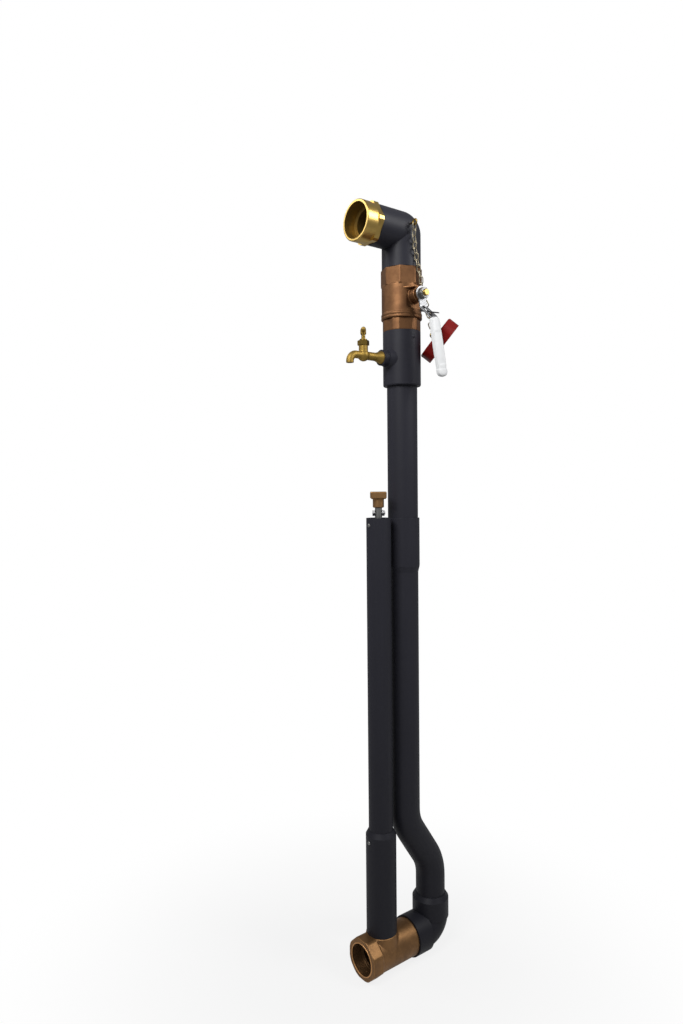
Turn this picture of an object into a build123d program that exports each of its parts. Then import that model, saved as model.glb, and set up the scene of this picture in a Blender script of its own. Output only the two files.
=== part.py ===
from build123d import *
import os
from math import atan2, cos, degrees, radians, sin, tan

# Self-draining sampling hydrant: a bronze foot valve, a casing with the operating rod in it,
# a plastic riser beside the casing, a sampling tee with its tap, a ball valve and a capped nozzle.
# All sizes are in millimetres. The origin is the centre of the inlet mouth, +Z is up,
# and the inlet and the nozzle both face -Y. The ball valve's stem points to +X.

# Pipe sizes
RISER_R = 30.165
RISER_WALL = 5.54
CASING_R = 24.13
CASING_WALL = 5.08
SLEEVE_R = 30.165
SLEEVE_WALL = 5.54

# Clearances, and how far a cut runs past the face it opens
GLUE_GAP = 0.1
SHAFT_GAP = 0.08
RUN_GAP = 0.3
PAST = 1.0

# Main lengths and heights
FOOT_LENGTH = 121.0
CASING_Y = 52.0
FOOT_ELBOW_OUT = 65.5
FOOT_ELBOW_RISE = 72.0
TOP_ELBOW_OUT = 78.5
TOP_ELBOW_RISE = 75.0
RISER_CASING_GAP = 10.205
SLEEVE_BASE_Z = 38.8
SLEEVE_LENGTH = 205.2
CASING_FOOT_Z = 140.0
CASING_TOP_Z = 861.0
BELL_BASE_Z = 751.0
BELL_TAPER = 12.5
BELL_TOP_Z = 859.0
TEE_BASE_Z = 1122.0
TEE_LENGTH = 107.0
HEX_HEIGHT = 23.5
VALVE_LENGTH = 99.5
NOZZLE_LENGTH = 37.5

# Fittings
FITTING_R = 37.6
TOP_ELBOW_R = 38.8
TOP_ELBOW_BEND = 8.0
FOOT_ELBOW_R = 36.0
FOOT_ELBOW_BEND = 30.0
FOOT_COLLAR_R = 40.0
FOOT_COLLAR_DEPTH = 37.5
FOOT_SOCKET_LENGTH = 48.0
FITTING_BORE_R = 24.6
SOCKET_DEPTH = 38.0
SOCKET_RIM = 9.0
SOCKET_LIP = 1.5
PIPE_THREAD_R = 29.2
PIPE_THREAD_DEPTH = 24.0
THREAD_SPARE = 1.0
TEE_RIM = 2.0
OCTAGON_TURN = 22.5
CROWN_SLOPE = 1.73

# Foot valve body
FOOT_R = 36.8
FOOT_FLATS = 77.0
FOOT_CORNER_R = 40.6
FOOT_FACE_R = 38.8
FOOT_COLLAR = 25.0
FOOT_SADDLE_R = 36.5
FOOT_SHOULDER_R = 31.0
FOOT_NECK_TOP_Z = 74.0
FOOT_PASSAGE_R = 25.0
FOOT_BRIDGE_HALF = 4.5
FOOT_BRIDGE_START = 31.0
FOOT_BRIDGE_WALL = 6.0
FOOT_BRIDGE_END = 74.0
FOOT_BONNET_R = 19.5
DRAIN_R = 3.2
DRAIN_Y = 92.0

# Seat, plunger and stem guide
SEAT_R = 16.0
SEAT_BORE_R = 12.7
SEAT_FLANGE_R = 18.2
SEAT_FLANGE = 2.0
FACE_R = 16.4
FACE_THICK = 4.0
PLUNGER_R = 15.5
PLUNGER_DISC = 8.0
PLUNGER_HUB_R = 11.0
PLUNGER_HUB = 15.0
FACE_NUT_R = 6.0
FACE_NUT = 4.5
SWIVEL_PIN_R = 1.5
SWIVEL_PIN_INSET = 1.0
SWIVEL_GROOVE_R = 4.4
SWIVEL_LIFT = 8.0
SWIVEL_FLOOR = 2.0
PLUNGER_LIFT = 12.0
FACE_HOLE_R = 3.0
GUIDE_FLANGE_R = 22.5
GUIDE_FLANGE = 6.0
GUIDE_SPARE = 6.2
SEAL_SECTION = 3.2
SEAL_SPACING = 10.0
SEAL_TOP_DROP = 7.0

# Rod, nut and stop bolt
ROD_R = 7.0
NECK_R = 11.0
NECK_LENGTH = 17.0
NECK_CHAMFER = 1.6
NUT_SIDE = 31.6
NUT_HEIGHT = 14.5
NUT_CHAMFER = 2.5
NUT_BASE_GAP = 20.0
ROD_INTO_NUT = 21.8
STOP_BOLT_R = 2.9
STOP_BOLT_FLATS = 11.0
STOP_BOLT_HEAD = 4.6
STOP_BOLT_RISE = 9.5
STOP_BOLT_TURN = 52.0
STOP_BOLT_TAIL = 1.6
TOP_GUIDE_LENGTH = 26.0
TOP_GUIDE_DEPTH = 5.0
TOP_GUIDE_LEAD = 2.0

# Set screws
SCREW_R = 2.4
SCREW_HEAD_R = 3.6
SCREW_HEAD = 1.8
SCREW_BITE = 2.0
UPPER_SCREW_DROP = 14.0
LOWER_SCREW_DROP = 20.0
SLEEVE_RIM = 5.0
SLEEVE_RIM_HEIGHT = 9.0

# Offset riser pipe
BEND_R = 90.0
BEND_ANGLE = 34.0
BEND_START_Z = 110.0
BELL_R = 33.0
RISER_OVERLAP = 94.0

# Sampling tap
TAP_RISE = 52.0
BOSS_R = 17.0
BOSS_REACH = 44.0
BOSS_FLARE = 5.0
BOSS_FLARE_START = 31.6
BOSS_FLARE_END = 43.0
BUSHING_R = 15.5
BUSHING_THREAD_R = 12.5
BUSHING_THREAD = 8.0
BUSHING_LENGTH = 11.0
BUSHING_BORE_R = 7.5
FLARE_R = 12.6
FLARE_LENGTH = 15.0
BARREL_R = 8.0
TAP_NECK_REACH = 99.0
TAP_SPOUT_REACH = 132.0
TAP_BULB_R = 11.5
TAP_NECK_R = 8.8
TAP_NECK_TOP = 19.0
TAP_SPOUT_R = 7.3
TAP_SPOUT_BORE_R = 4.2
TAP_SPOUT_DROP = 17.0
TAP_SPOUT_BEND = 14.0
TAP_INLET_BORE_R = 4.5
TAP_WEB = 11.0
TAP_FEED_Z = 4.6
TAP_FEED_R = 2.0
TAP_FEED_LAP = 4.0
TAP_CHAMBER_R = 6.4
TAP_SEAT_Z = 2.5
TAP_SEAT_BORE_R = 3.8
TAP_LOWER_BORE_DROP = 2.5
TAP_NUT_FLATS = 20.0
TAP_NUT_HEIGHT = 9.0
TAP_NUT_COLLAR_R = 7.2
TAP_NUT_COLLAR = 2.5
TAP_STEM_R = 3.8
TAP_STEM_FOOT_R = 5.6
TAP_WASHER_R = 5.6
TAP_WASHER = 2.5
TAP_JUMPER = 3.0
TAP_JUMPER_PIN_R = 1.8
TAP_JUMPER_PIN = 4.0
TAP_STEM_TOP = 40.0
TAP_LIFT = 3.0
TAP_BAR_R = 3.0
TAP_BAR_HALF = 21.0
TAP_BAR_BALL_R = 4.6
TAP_BAR_HUB_R = 5.6
TAP_BAR_HUB = 11.0
TAP_BAR_TURN = -38.0

# Ball valve
VALVE_R = 39.5
VALVE_FLATS = 76.0
VALVE_FLATS_LOW = 66.0
VALVE_CORNER_R = 40.9
VALVE_BEADS = 2
VALVE_BEAD_R = 40.7
VALVE_BEAD = 4.0
VALVE_BEAD_PITCH = 6.0
VALVE_BEAD_START = 1.0
STEM_RISE = 42.0
BALL_R = 29.0
PORT_R = 19.0
CHAMBER_R = 31.5
SEAT_RING_LOW = 17.0
SEAT_RING_HIGH = 24.5
SEAT_RING_R = 28.5
SEAT_RING_BORE_R = 19.2
SPIGOT_R = 33.0
PAD_X = 35.0
PAD_LOW = 18.0
PAD_HIGH = 50.0
STEM_BOSS_R = 14.5
STEM_BOSS_ROOT_X = 27.0
STEM_BOSS_X = 51.0
STEM_R = 6.3
STEM_COLLAR_R = 9.0
STEM_COLLAR = 2.0
STEM_TANG = 7.0
STEM_TANG_WIDE = 11.0
STEM_TANG_THICK = 6.4
STEM_END_X = 73.0
STEM_END_CHAMFER = 1.0
SHELF_DROP = 6.0
PACKING_POCKET_X = 40.0
PACKING_R = 10.0
PACKING_LENGTH = 5.0
GLAND_FLATS = 22.0
GLAND_HEAD = 3.4
NIPPLE_BORE_R = 23.5
HEX_FLATS = 71.0
HEX_CORNER_R = 37.6

# Lever, grip and lock
LEVER_X = 58.5
LEVER_THICK = 3.0
LEVER_TAIL = 15.0
LEVER_KNEE_Z = -26.0
LEVER_SHIN_X = 84.0
LEVER_SHIN_Z = -50.0
LEVER_TIP_X = 92.0
LEVER_TIP_Z = -160.0
LEVER_BEND = 6.0
LEVER_HUB_R = 14.5
LEVER_NECK_W = 19.0
LEVER_BLADE_W = 18.0
LEVER_REST_TURN = 8.0
GRIP_W = 22.0
GRIP_THICK = 8.5
GRIP_END = 3.0
GRIP_ROUND = 3.4
GRIP_CORNER = 9.0
GRIP_TOP_DROP = 2.0
GRIP_POCKET_FLAT = 2.0
LEVER_NUT_FLATS = 19.0
LEVER_NUT = 8.5
LOCK_THICK = 2.0
LOCK_W = 11.0
LOCK_TOP_Z = -14.0
LOCK_KNEE_Z = -34.0
LOCK_TIP_X = 99.0
LOCK_TIP_Z = -46.0
LOCK_TAB_W = 7.0
LOCK_POINT_SHARE = 0.28
LOCK_CORNER = 2.2
LOCK_TRAVEL = 7.0
LOCK_SLOT_SPARE = 3.0

# Nozzle
NOZZLE_R = 38.9
NOZZLE_HEX_FLATS = 75.0
NOZZLE_HEX_CORNER_R = 41.6
NOZZLE_HEX = 12.0
NOZZLE_BORE_R = 34.0
NOZZLE_BORE_DEPTH = 24.0
NOZZLE_RIM_ROUND = 2.0

# Cap, chain and eye
CAP_R = 46.0
CAP_FLATS = 90.0
CAP_HEIGHT = 24.5
CAP_TOP = 5.0
CAP_EDGE = 2.0
CAP_GAP = 0.9
CAP_GASKET = 3.0
CAP_GASKET_BORE_R = 27.0
CAP_EYE_WIRE_R = 1.4
CAP_EYE_R = 4.2
CAP_EYE_FOOT_R = 2.8
CAP_EYE_FLOOR = 1.0
CAP_CENTRE_X = 41.9
CAP_CENTRE_Y = 64.2
CAP_CENTRE_RISE = 91.5
CAP_BEARING_TURN = 233.1
CAP_TILT_ANGLE = 38.0
EYE_BACK = 9.0
EYE_RISE = 5.0
EYE_WIRE_R = 1.6
EYE_R = 5.0
EYE_SHANK = 6.0
EYE_BITE = 8.0
LINK_WIRE_R = 1.0
LINK_WIRE_SIDES = 6
LINK_INNER_W = 3.6
LINK_PLAY = 0.5
LINK_COUNT = 19
# The chain's line from the eye to the cap, from the riser's upper axis and the tee's base, chosen by hand
CHAIN_ROUTE = [(43.4, -3.0, 263.0), (43.4, 9.0, 216.0), (42.5, 22.0, 174.0), (39.0, 39.0, 133.0)]

# Places worked out from the sizes above
RISER_FOOT_Y = FOOT_LENGTH + FOOT_ELBOW_OUT
RISER_TOP_Y = CASING_Y + CASING_R + RISER_CASING_GAP + RISER_R
RISER_OFFSET = RISER_FOOT_Y - RISER_TOP_Y
SLEEVE_TOP_Z = SLEEVE_BASE_Z + SLEEVE_LENGTH
TEE_TOP_Z = TEE_BASE_Z + TEE_LENGTH
TAP_Z = TEE_BASE_Z + TAP_RISE
VALVE_BASE_Z = TEE_TOP_Z + HEX_HEIGHT
VALVE_TOP_Z = VALVE_BASE_Z + VALVE_LENGTH
NOZZLE_Z = VALVE_TOP_Z + TOP_ELBOW_RISE
STEM_Z = VALVE_BASE_Z + STEM_RISE
ELBOW_FACE_Y = RISER_TOP_Y - TOP_ELBOW_OUT
NUT_BASE_Z = CASING_TOP_Z + NUT_BASE_GAP
STOP_BOLT_Z = CASING_TOP_Z + STOP_BOLT_RISE
THREADED_DEPTH = PIPE_THREAD_DEPTH + THREAD_SPARE

# Planes whose normals are the pieces' own axes
INLET = Plane(origin=(0, 0, 0), x_dir=(1, 0, 0), z_dir=(0, 1, 0))
CASING = Plane(origin=(0, CASING_Y, 0), x_dir=(1, 0, 0), z_dir=(0, 0, 1))
RISER = Plane(origin=(0, RISER_TOP_Y, 0), x_dir=(1, 0, 0), z_dir=(0, 0, 1))
NOZZLE = Plane(origin=(0, RISER_TOP_Y, NOZZLE_Z), x_dir=(1, 0, 0), z_dir=(0, -1, 0))
TAP = Plane(origin=(0, RISER_TOP_Y, TAP_Z), x_dir=(1, 0, 0), z_dir=(0, -1, 0))
TAP_NECK = Plane(origin=(0, RISER_TOP_Y - TAP_NECK_REACH, TAP_Z), x_dir=(1, 0, 0), z_dir=(0, 0, 1))
STEM = Plane(origin=(0, RISER_TOP_Y, STEM_Z), x_dir=(0, 1, 0), z_dir=(1, 0, 0))

FROM_BASE = (Align.CENTER, Align.CENTER, Align.MIN)


# Helpers
def disc(plane, radius, low, high):
    """A cylinder along the plane's normal, from low to high."""
    return extrude(plane.offset(low) * Circle(radius), high - low)


def ring(plane, radius, bore, low, high):
    """A disc with a round bore."""
    return extrude(plane.offset(low) * (Circle(radius) - Circle(bore)), high - low)


def cone(plane, low_r, high_r, low, high):
    """A cone along the plane's normal, from low_r at low to high_r at high."""
    return plane.offset(low) * Cone(low_r, high_r, high - low, align=FROM_BASE)


def prism(plane, flats, sides, low, high, turn=0.0):
    """A regular prism, flats across its flats, along the plane's normal."""
    outline = RegularPolygon(flats / 2, sides, major_radius=False, rotation=turn)
    return extrude(plane.offset(low) * outline, high - low)


def crowned_nut(plane, flats, low, high, turn=0.0):
    """A hexagon whose outer corners are turned off."""
    crown = cone(plane, flats / 2 + CROWN_SLOPE * (high - low), flats / 2, low, high)
    return prism(plane, flats, 6, low, high, turn) & crown


def save(name, *solids):
    """Write the solids of one node to its own file."""
    shape = solids[0] if len(solids) == 1 else Compound(children=list(solids))
    export_step(shape, f"parts/{name}.step")


# Foot valve
def make_foot_valve_body():
    """The bronze casting: octagonal mouth, barrel, bridge with the seat hole, neck for the casing."""
    collar = prism(INLET, FOOT_FLATS, 8, 0, FOOT_COLLAR, OCTAGON_TURN)
    collar &= disc(INLET, FOOT_CORNER_R, 0, FOOT_COLLAR)
    collar &= cone(INLET, FOOT_FACE_R, FOOT_FACE_R + FOOT_COLLAR, 0, FOOT_COLLAR)
    barrel = disc(INLET, FOOT_R, FOOT_COLLAR, FOOT_LENGTH)
    spigot = disc(INLET, PIPE_THREAD_R, FOOT_LENGTH, FOOT_LENGTH + PIPE_THREAD_DEPTH)
    shoulder = cone(CASING, FOOT_SADDLE_R, FOOT_SHOULDER_R, 0, SLEEVE_BASE_Z)
    neck = disc(CASING, SLEEVE_R - SLEEVE_WALL - GLUE_GAP, 0, FOOT_NECK_TOP_Z)
    body = collar + barrel + spigot + shoulder + neck

    span = 4 * FOOT_R
    from_top = (Align.CENTER, Align.CENTER, Align.MAX)
    below = Pos(0, 0, -FOOT_BRIDGE_HALF) * Box(span, span * 2, span, align=from_top)
    above = Pos(0, 0, FOOT_BRIDGE_HALF) * Box(span, span * 2, span, align=FROM_BASE)
    thread = disc(INLET, PIPE_THREAD_R, 0, PIPE_THREAD_DEPTH)
    inlet = disc(INLET, FOOT_PASSAGE_R, 0, FOOT_BRIDGE_START)
    inlet += disc(INLET, FOOT_PASSAGE_R, FOOT_BRIDGE_START, FOOT_BRIDGE_END) & below
    outlet_start = FOOT_BRIDGE_START + FOOT_BRIDGE_WALL
    outlet_full = FOOT_BRIDGE_END + FOOT_BRIDGE_WALL
    outlet = disc(INLET, FOOT_PASSAGE_R, outlet_start, outlet_full) & above
    outlet += disc(INLET, FOOT_PASSAGE_R, outlet_full, FOOT_LENGTH + PIPE_THREAD_DEPTH)
    seat_hole = disc(CASING, SEAT_R, -FOOT_BRIDGE_HALF, FOOT_BRIDGE_HALF)
    bonnet_hole = disc(CASING, FOOT_BONNET_R, FOOT_BRIDGE_HALF, FOOT_NECK_TOP_Z)
    drain_plane = Plane(origin=(0, DRAIN_Y, 0), x_dir=(0, 1, 0), z_dir=(-1, 0, 0))
    drain = disc(drain_plane, DRAIN_R, 0, FOOT_R + PAST)
    return body - thread - inlet - outlet - seat_hole - bonnet_hole - drain


def make_valve_seat_ring():
    """The seat pressed into the bridge, with a flange on top."""
    stem = disc(CASING, SEAT_R - GLUE_GAP, -FOOT_BRIDGE_HALF, FOOT_BRIDGE_HALF)
    flange = disc(CASING, SEAT_FLANGE_R, FOOT_BRIDGE_HALF, FOOT_BRIDGE_HALF + SEAT_FLANGE)
    bore = disc(CASING, SEAT_BORE_R, -FOOT_BRIDGE_HALF, FOOT_BRIDGE_HALF + SEAT_FLANGE)
    return stem + flange - bore


FACE_Z = FOOT_BRIDGE_HALF + SEAT_FLANGE + RUN_GAP
PLUNGER_Z = FACE_Z + FACE_THICK
HUB_Z = PLUNGER_Z + PLUNGER_DISC
HUB_TOP_Z = HUB_Z + PLUNGER_HUB
ROD_FOOT_Z = HUB_Z + SWIVEL_FLOOR
SWIVEL_Z = HUB_Z + SWIVEL_LIFT
SWIVEL_PIN_X = SWIVEL_GROOVE_R + SWIVEL_PIN_R + SHAFT_GAP


def make_plunger():
    """The bronze plunger that holds the rubber face and carries the rod's foot in a swivel."""
    body = disc(CASING, PLUNGER_R, PLUNGER_Z, HUB_Z) + disc(CASING, PLUNGER_HUB_R, HUB_Z, HUB_TOP_Z)
    stud = disc(CASING, FACE_HOLE_R, FACE_Z - FACE_NUT, PLUNGER_Z)
    socket = disc(CASING, ROD_R + SHAFT_GAP, HUB_Z + SWIVEL_FLOOR - RUN_GAP, HUB_TOP_Z)
    return body + stud - socket - swivel_pin(1, SWIVEL_PIN_R) - swivel_pin(-1, SWIVEL_PIN_R)


def swivel_pin(side, radius):
    """One of the two pins that pass beside the rod's groove."""
    plane = Plane(origin=(side * SWIVEL_PIN_X, CASING_Y, SWIVEL_Z), x_dir=(1, 0, 0), z_dir=(0, 1, 0))
    half = (PLUNGER_HUB_R**2 - SWIVEL_PIN_X**2) ** 0.5 - SWIVEL_PIN_INSET
    return disc(plane, radius, -half, half)


def make_plunger_face():
    """The rubber disc that closes on the seat."""
    return ring(CASING, FACE_R, FACE_HOLE_R + GLUE_GAP, FACE_Z, PLUNGER_Z)


def make_plunger_face_nut():
    """The nut under the rubber disc, inside the seat's bore."""
    nut = prism(CASING, 2 * FACE_NUT_R, 6, FACE_Z - FACE_NUT, FACE_Z)
    return nut - disc(CASING, FACE_HOLE_R + GLUE_GAP, FACE_Z - FACE_NUT, FACE_Z)


GUIDE_FOOT_Z = HUB_TOP_Z + PLUNGER_LIFT + GUIDE_SPARE
GUIDE_TOP_Z = FOOT_NECK_TOP_Z + GUIDE_FLANGE
SEAL_OUTER_R = ROD_R + SHAFT_GAP + SEAL_SECTION


def seal_feet():
    """Heights of the undersides of the two rod seals in the stem guide."""
    top = GUIDE_TOP_Z - SEAL_TOP_DROP
    return [top - SEAL_SECTION, top - SEAL_SECTION - SEAL_SPACING]


def seal_ring(foot):
    """A square sectioned packing ring round the rod."""
    return ring(CASING, SEAL_OUTER_R, ROD_R + SHAFT_GAP, foot, foot + SEAL_SECTION)


def make_stem_guide():
    """The bronze bush screwed into the body's neck, in which the rod's thread turns."""
    body = disc(CASING, FOOT_BONNET_R - GLUE_GAP, GUIDE_FOOT_Z, FOOT_NECK_TOP_Z)
    body += prism(CASING, 2 * GUIDE_FLANGE_R - SEAL_SECTION, 6, FOOT_NECK_TOP_Z, GUIDE_TOP_Z)
    body &= disc(CASING, GUIDE_FLANGE_R, GUIDE_FOOT_Z, GUIDE_TOP_Z)
    body -= disc(CASING, ROD_R + SHAFT_GAP, GUIDE_FOOT_Z, GUIDE_TOP_Z)
    for foot in seal_feet():
        body -= disc(CASING, SEAL_OUTER_R + GLUE_GAP, foot - GLUE_GAP, foot + SEAL_SECTION + GLUE_GAP)
    return body


# Casing, rod and nut
def make_lower_casing_sleeve():
    """The two inch sleeve that stands on the body, with a chamfered top rim."""
    sleeve = disc(CASING, SLEEVE_R, SLEEVE_BASE_Z, SLEEVE_TOP_Z - SLEEVE_RIM_HEIGHT)
    sleeve += cone(CASING, SLEEVE_R, SLEEVE_R - SLEEVE_RIM, SLEEVE_TOP_Z - SLEEVE_RIM_HEIGHT, SLEEVE_TOP_Z)
    sleeve -= disc(CASING, SLEEVE_R - SLEEVE_WALL, SLEEVE_BASE_Z, SLEEVE_TOP_Z)
    return sleeve - screw_hole(SLEEVE_TOP_Z - LOWER_SCREW_DROP, SLEEVE_R)


def make_upper_casing_pipe():
    """The one and a half inch casing pipe, slipped into the sleeve."""
    pipe = ring(CASING, CASING_R, CASING_R - CASING_WALL, CASING_FOOT_Z, CASING_TOP_Z)
    pipe -= screw_hole(CASING_TOP_Z - UPPER_SCREW_DROP, CASING_R)
    return pipe - screw_hole(SLEEVE_TOP_Z - LOWER_SCREW_DROP, CASING_R)


def screw_plane(height):
    """The plane of a set screw, whose normal runs outwards to -Y."""
    return Plane(origin=(0, CASING_Y, height), x_dir=(1, 0, 0), z_dir=(0, -1, 0))


def screw_hole(height, radius):
    """The hole for a set screw through the wall of a pipe of the radius."""
    return disc(screw_plane(height), SCREW_R + GLUE_GAP, radius / 2, radius + PAST)


def set_screw(height, inner, outer):
    """A set screw from inner to outer, with a low domed head."""
    plane = screw_plane(height)
    shank = disc(plane, SCREW_R, inner, outer)
    head = disc(plane, SCREW_HEAD_R, outer, outer + SCREW_HEAD)
    head = fillet(head.edges().group_by(Axis.Y)[0], SCREW_HEAD / 2)
    return shank + head


def make_casing_set_screws():
    """Both screws: one holds the top guide, the other holds the casing in the sleeve."""
    guide_r = CASING_R - CASING_WALL
    upper = set_screw(CASING_TOP_Z - UPPER_SCREW_DROP, guide_r - SCREW_BITE, CASING_R)
    lower = set_screw(SLEEVE_TOP_Z - LOWER_SCREW_DROP, CASING_R - CASING_WALL, SLEEVE_R)
    return upper, lower


GUIDE_BUSH_TOP_Z = CASING_TOP_Z - TOP_GUIDE_DEPTH
GUIDE_BUSH_R = CASING_R - CASING_WALL - GLUE_GAP


def make_casing_guide():
    """The bush that centres the rod at the top of the casing."""
    bore = ROD_R + SHAFT_GAP
    bush = ring(CASING, GUIDE_BUSH_R, bore, GUIDE_BUSH_TOP_Z - TOP_GUIDE_LENGTH, GUIDE_BUSH_TOP_Z)
    lead = cone(CASING, bore, bore + TOP_GUIDE_LEAD, GUIDE_BUSH_TOP_Z - TOP_GUIDE_LEAD, GUIDE_BUSH_TOP_Z)
    plane = screw_plane(CASING_TOP_Z - UPPER_SCREW_DROP)
    screw = disc(plane, SCREW_R + GLUE_GAP, GUIDE_BUSH_R + GLUE_GAP - SCREW_BITE, GUIDE_BUSH_R + PAST)
    return bush - lead - screw


ROD_TOP_Z = NUT_BASE_Z + ROD_INTO_NUT
BOLT_DIRECTION = Vector(1, 0, 0).rotate(Axis.Z, STOP_BOLT_TURN)
BOLT = Plane(origin=(0, CASING_Y, STOP_BOLT_Z), z_dir=BOLT_DIRECTION)


def make_operating_rod():
    """The steel rod from the plunger's swivel to the operating nut."""
    rod = disc(CASING, ROD_R, ROD_FOOT_Z, ROD_TOP_Z)
    groove_low = SWIVEL_Z - SWIVEL_PIN_R - SHAFT_GAP
    groove_high = SWIVEL_Z + SWIVEL_PIN_R + SHAFT_GAP
    rod -= ring(CASING, ROD_R + PAST, SWIVEL_GROOVE_R, groove_low, groove_high)
    return rod - disc(BOLT, STOP_BOLT_R + GLUE_GAP, -2 * ROD_R, 2 * ROD_R)


def make_operating_nut():
    """The bronze nut: a square head with chamfered corners on a round neck."""
    head_low = NUT_BASE_Z + NECK_LENGTH
    head_high = head_low + NUT_HEIGHT
    neck = disc(CASING, NECK_R, NUT_BASE_Z + NECK_CHAMFER, head_low)
    neck += cone(CASING, NECK_R - NECK_CHAMFER, NECK_R, NUT_BASE_Z, NUT_BASE_Z + NECK_CHAMFER)
    square = Rectangle(NUT_SIDE, NUT_SIDE, rotation=STOP_BOLT_TURN)
    head = extrude(CASING.offset(head_low) * square, NUT_HEIGHT)
    head = chamfer(head.edges().filter_by(Axis.Z), NUT_CHAMFER)
    head = chamfer(head.faces().sort_by(Axis.Z)[-1].edges(), NUT_CHAMFER / 2)
    head = chamfer(head.faces().sort_by(Axis.Z)[0].edges(), NUT_CHAMFER)
    return neck + head - disc(CASING, ROD_R + GLUE_GAP, NUT_BASE_Z, ROD_TOP_Z + GLUE_GAP)


def make_stop_bolt():
    """The bolt through the rod and its nut."""
    seat = ROD_R + GLUE_GAP
    head = prism(BOLT, STOP_BOLT_FLATS, 6, -seat - STOP_BOLT_HEAD, -seat)
    shank = disc(BOLT, STOP_BOLT_R, -seat, seat + STOP_BOLT_HEAD + STOP_BOLT_TAIL)
    nut = prism(BOLT, STOP_BOLT_FLATS, 6, seat, seat + STOP_BOLT_HEAD)
    return head + shank, nut - disc(BOLT, STOP_BOLT_R + GLUE_GAP, seat, seat + STOP_BOLT_HEAD)


# Riser and elbows
def elbow_form(radius, turn, up, out):
    """A bend of the radius, turned round a centre line: its legs run to +Z and -Y from the origin."""
    leg_up = disc(Plane.XY, radius, turn, up)
    out_plane = Plane(origin=(0, 0, 0), x_dir=(1, 0, 0), z_dir=(0, -1, 0))
    leg_out = disc(out_plane, radius, turn, out)
    keep = Pos(0, -turn, 0) * Rectangle(4 * radius, 4 * radius, align=(Align.CENTER, Align.MIN))
    section = Plane.XY.offset(turn) * (Circle(radius) & keep)
    bend = revolve(section, Axis((0, -turn, turn), (-1, 0, 0)), 90)
    return leg_up + leg_out + bend


def make_lower_elbow():
    """The elbow behind the foot valve: screwed at the valve, glued at the riser."""
    out_plane = Plane(origin=(0, 0, 0), x_dir=(1, 0, 0), z_dir=(0, -1, 0))
    rim = FOOT_ELBOW_RISE - SOCKET_RIM
    form = elbow_form(FOOT_ELBOW_R, FOOT_ELBOW_BEND, rim, FOOT_ELBOW_OUT)
    form += disc(Plane.XY, FITTING_R, FOOT_ELBOW_RISE - FOOT_SOCKET_LENGTH, rim)
    form += cone(Plane.XY, FITTING_R, RISER_R + GLUE_GAP + SOCKET_LIP, rim, FOOT_ELBOW_RISE)
    form += disc(out_plane, FOOT_COLLAR_R, FOOT_ELBOW_OUT - FOOT_COLLAR_DEPTH, FOOT_ELBOW_OUT)
    form -= elbow_form(FITTING_BORE_R, FOOT_ELBOW_BEND, FOOT_ELBOW_RISE, FOOT_ELBOW_OUT)
    form -= disc(Plane.XY, RISER_R + GLUE_GAP, FOOT_ELBOW_RISE - SOCKET_DEPTH, FOOT_ELBOW_RISE)
    form -= disc(out_plane, PIPE_THREAD_R + GLUE_GAP, FOOT_ELBOW_OUT - THREADED_DEPTH, FOOT_ELBOW_OUT)
    return Pos(0, RISER_FOOT_Y, 0) * form


def make_upper_elbow():
    """The elbow above the ball valve, screwed at both ends, with a hole for the chain's eye."""
    form = elbow_form(TOP_ELBOW_R, TOP_ELBOW_BEND, TOP_ELBOW_RISE, TOP_ELBOW_OUT)
    form -= elbow_form(FITTING_BORE_R, TOP_ELBOW_BEND, TOP_ELBOW_RISE, TOP_ELBOW_OUT)
    form = Pos(0, RISER_TOP_Y, NOZZLE_Z) * mirror(form, Plane.XY)
    form -= disc(NOZZLE, PIPE_THREAD_R + GLUE_GAP, TOP_ELBOW_OUT - THREADED_DEPTH, TOP_ELBOW_OUT)
    form -= disc(RISER, PIPE_THREAD_R + GLUE_GAP, VALVE_TOP_Z, VALVE_TOP_Z + THREADED_DEPTH)
    return form - disc(EYE, EYE_WIRE_R + GLUE_GAP, TOP_ELBOW_R - EYE_BITE, TOP_ELBOW_R + PAST)


def make_offset_riser_pipe():
    """The heat formed pipe that brings the riser beside the casing and ends in a bell."""
    foot_z = FOOT_ELBOW_RISE - SOCKET_DEPTH
    half_turn = tan(radians(BEND_ANGLE / 2))
    first_z = BEND_START_Z + BEND_R * half_turn
    second_z = first_z + RISER_OFFSET / tan(radians(BEND_ANGLE))
    path = FilletPolyline(
        (0, RISER_FOOT_Y, foot_z),
        (0, RISER_FOOT_Y, first_z),
        (0, RISER_TOP_Y, second_z),
        (0, RISER_TOP_Y, BELL_BASE_Z),
        radius=BEND_R,
    )
    start = Plane(origin=(0, RISER_FOOT_Y, foot_z), z_dir=(0, 0, 1))
    pipe = sweep(start * (Circle(RISER_R) - Circle(RISER_R - RISER_WALL)), path)
    bore = RISER_R + GLUE_GAP
    bell_z = BELL_BASE_Z + BELL_TAPER
    profile = Polyline(
        (RISER_R - RISER_WALL, BELL_BASE_Z),
        (RISER_R, BELL_BASE_Z),
        (BELL_R, bell_z),
        (BELL_R, BELL_TOP_Z),
        (bore, BELL_TOP_Z),
        (bore, bell_z),
        close=True,
    )
    section = Plane(origin=(0, RISER_TOP_Y, 0), x_dir=(1, 0, 0), z_dir=(0, -1, 0)) * make_face(profile)
    return pipe + revolve(section, Axis((0, RISER_TOP_Y, 0), (0, 0, 1)), 360)


def make_upper_riser_pipe():
    """The straight pipe from the bell to the sampling tee."""
    return ring(RISER, RISER_R, RISER_R - RISER_WALL, BELL_TOP_Z - RISER_OVERLAP, TEE_BASE_Z + SOCKET_DEPTH)


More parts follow.
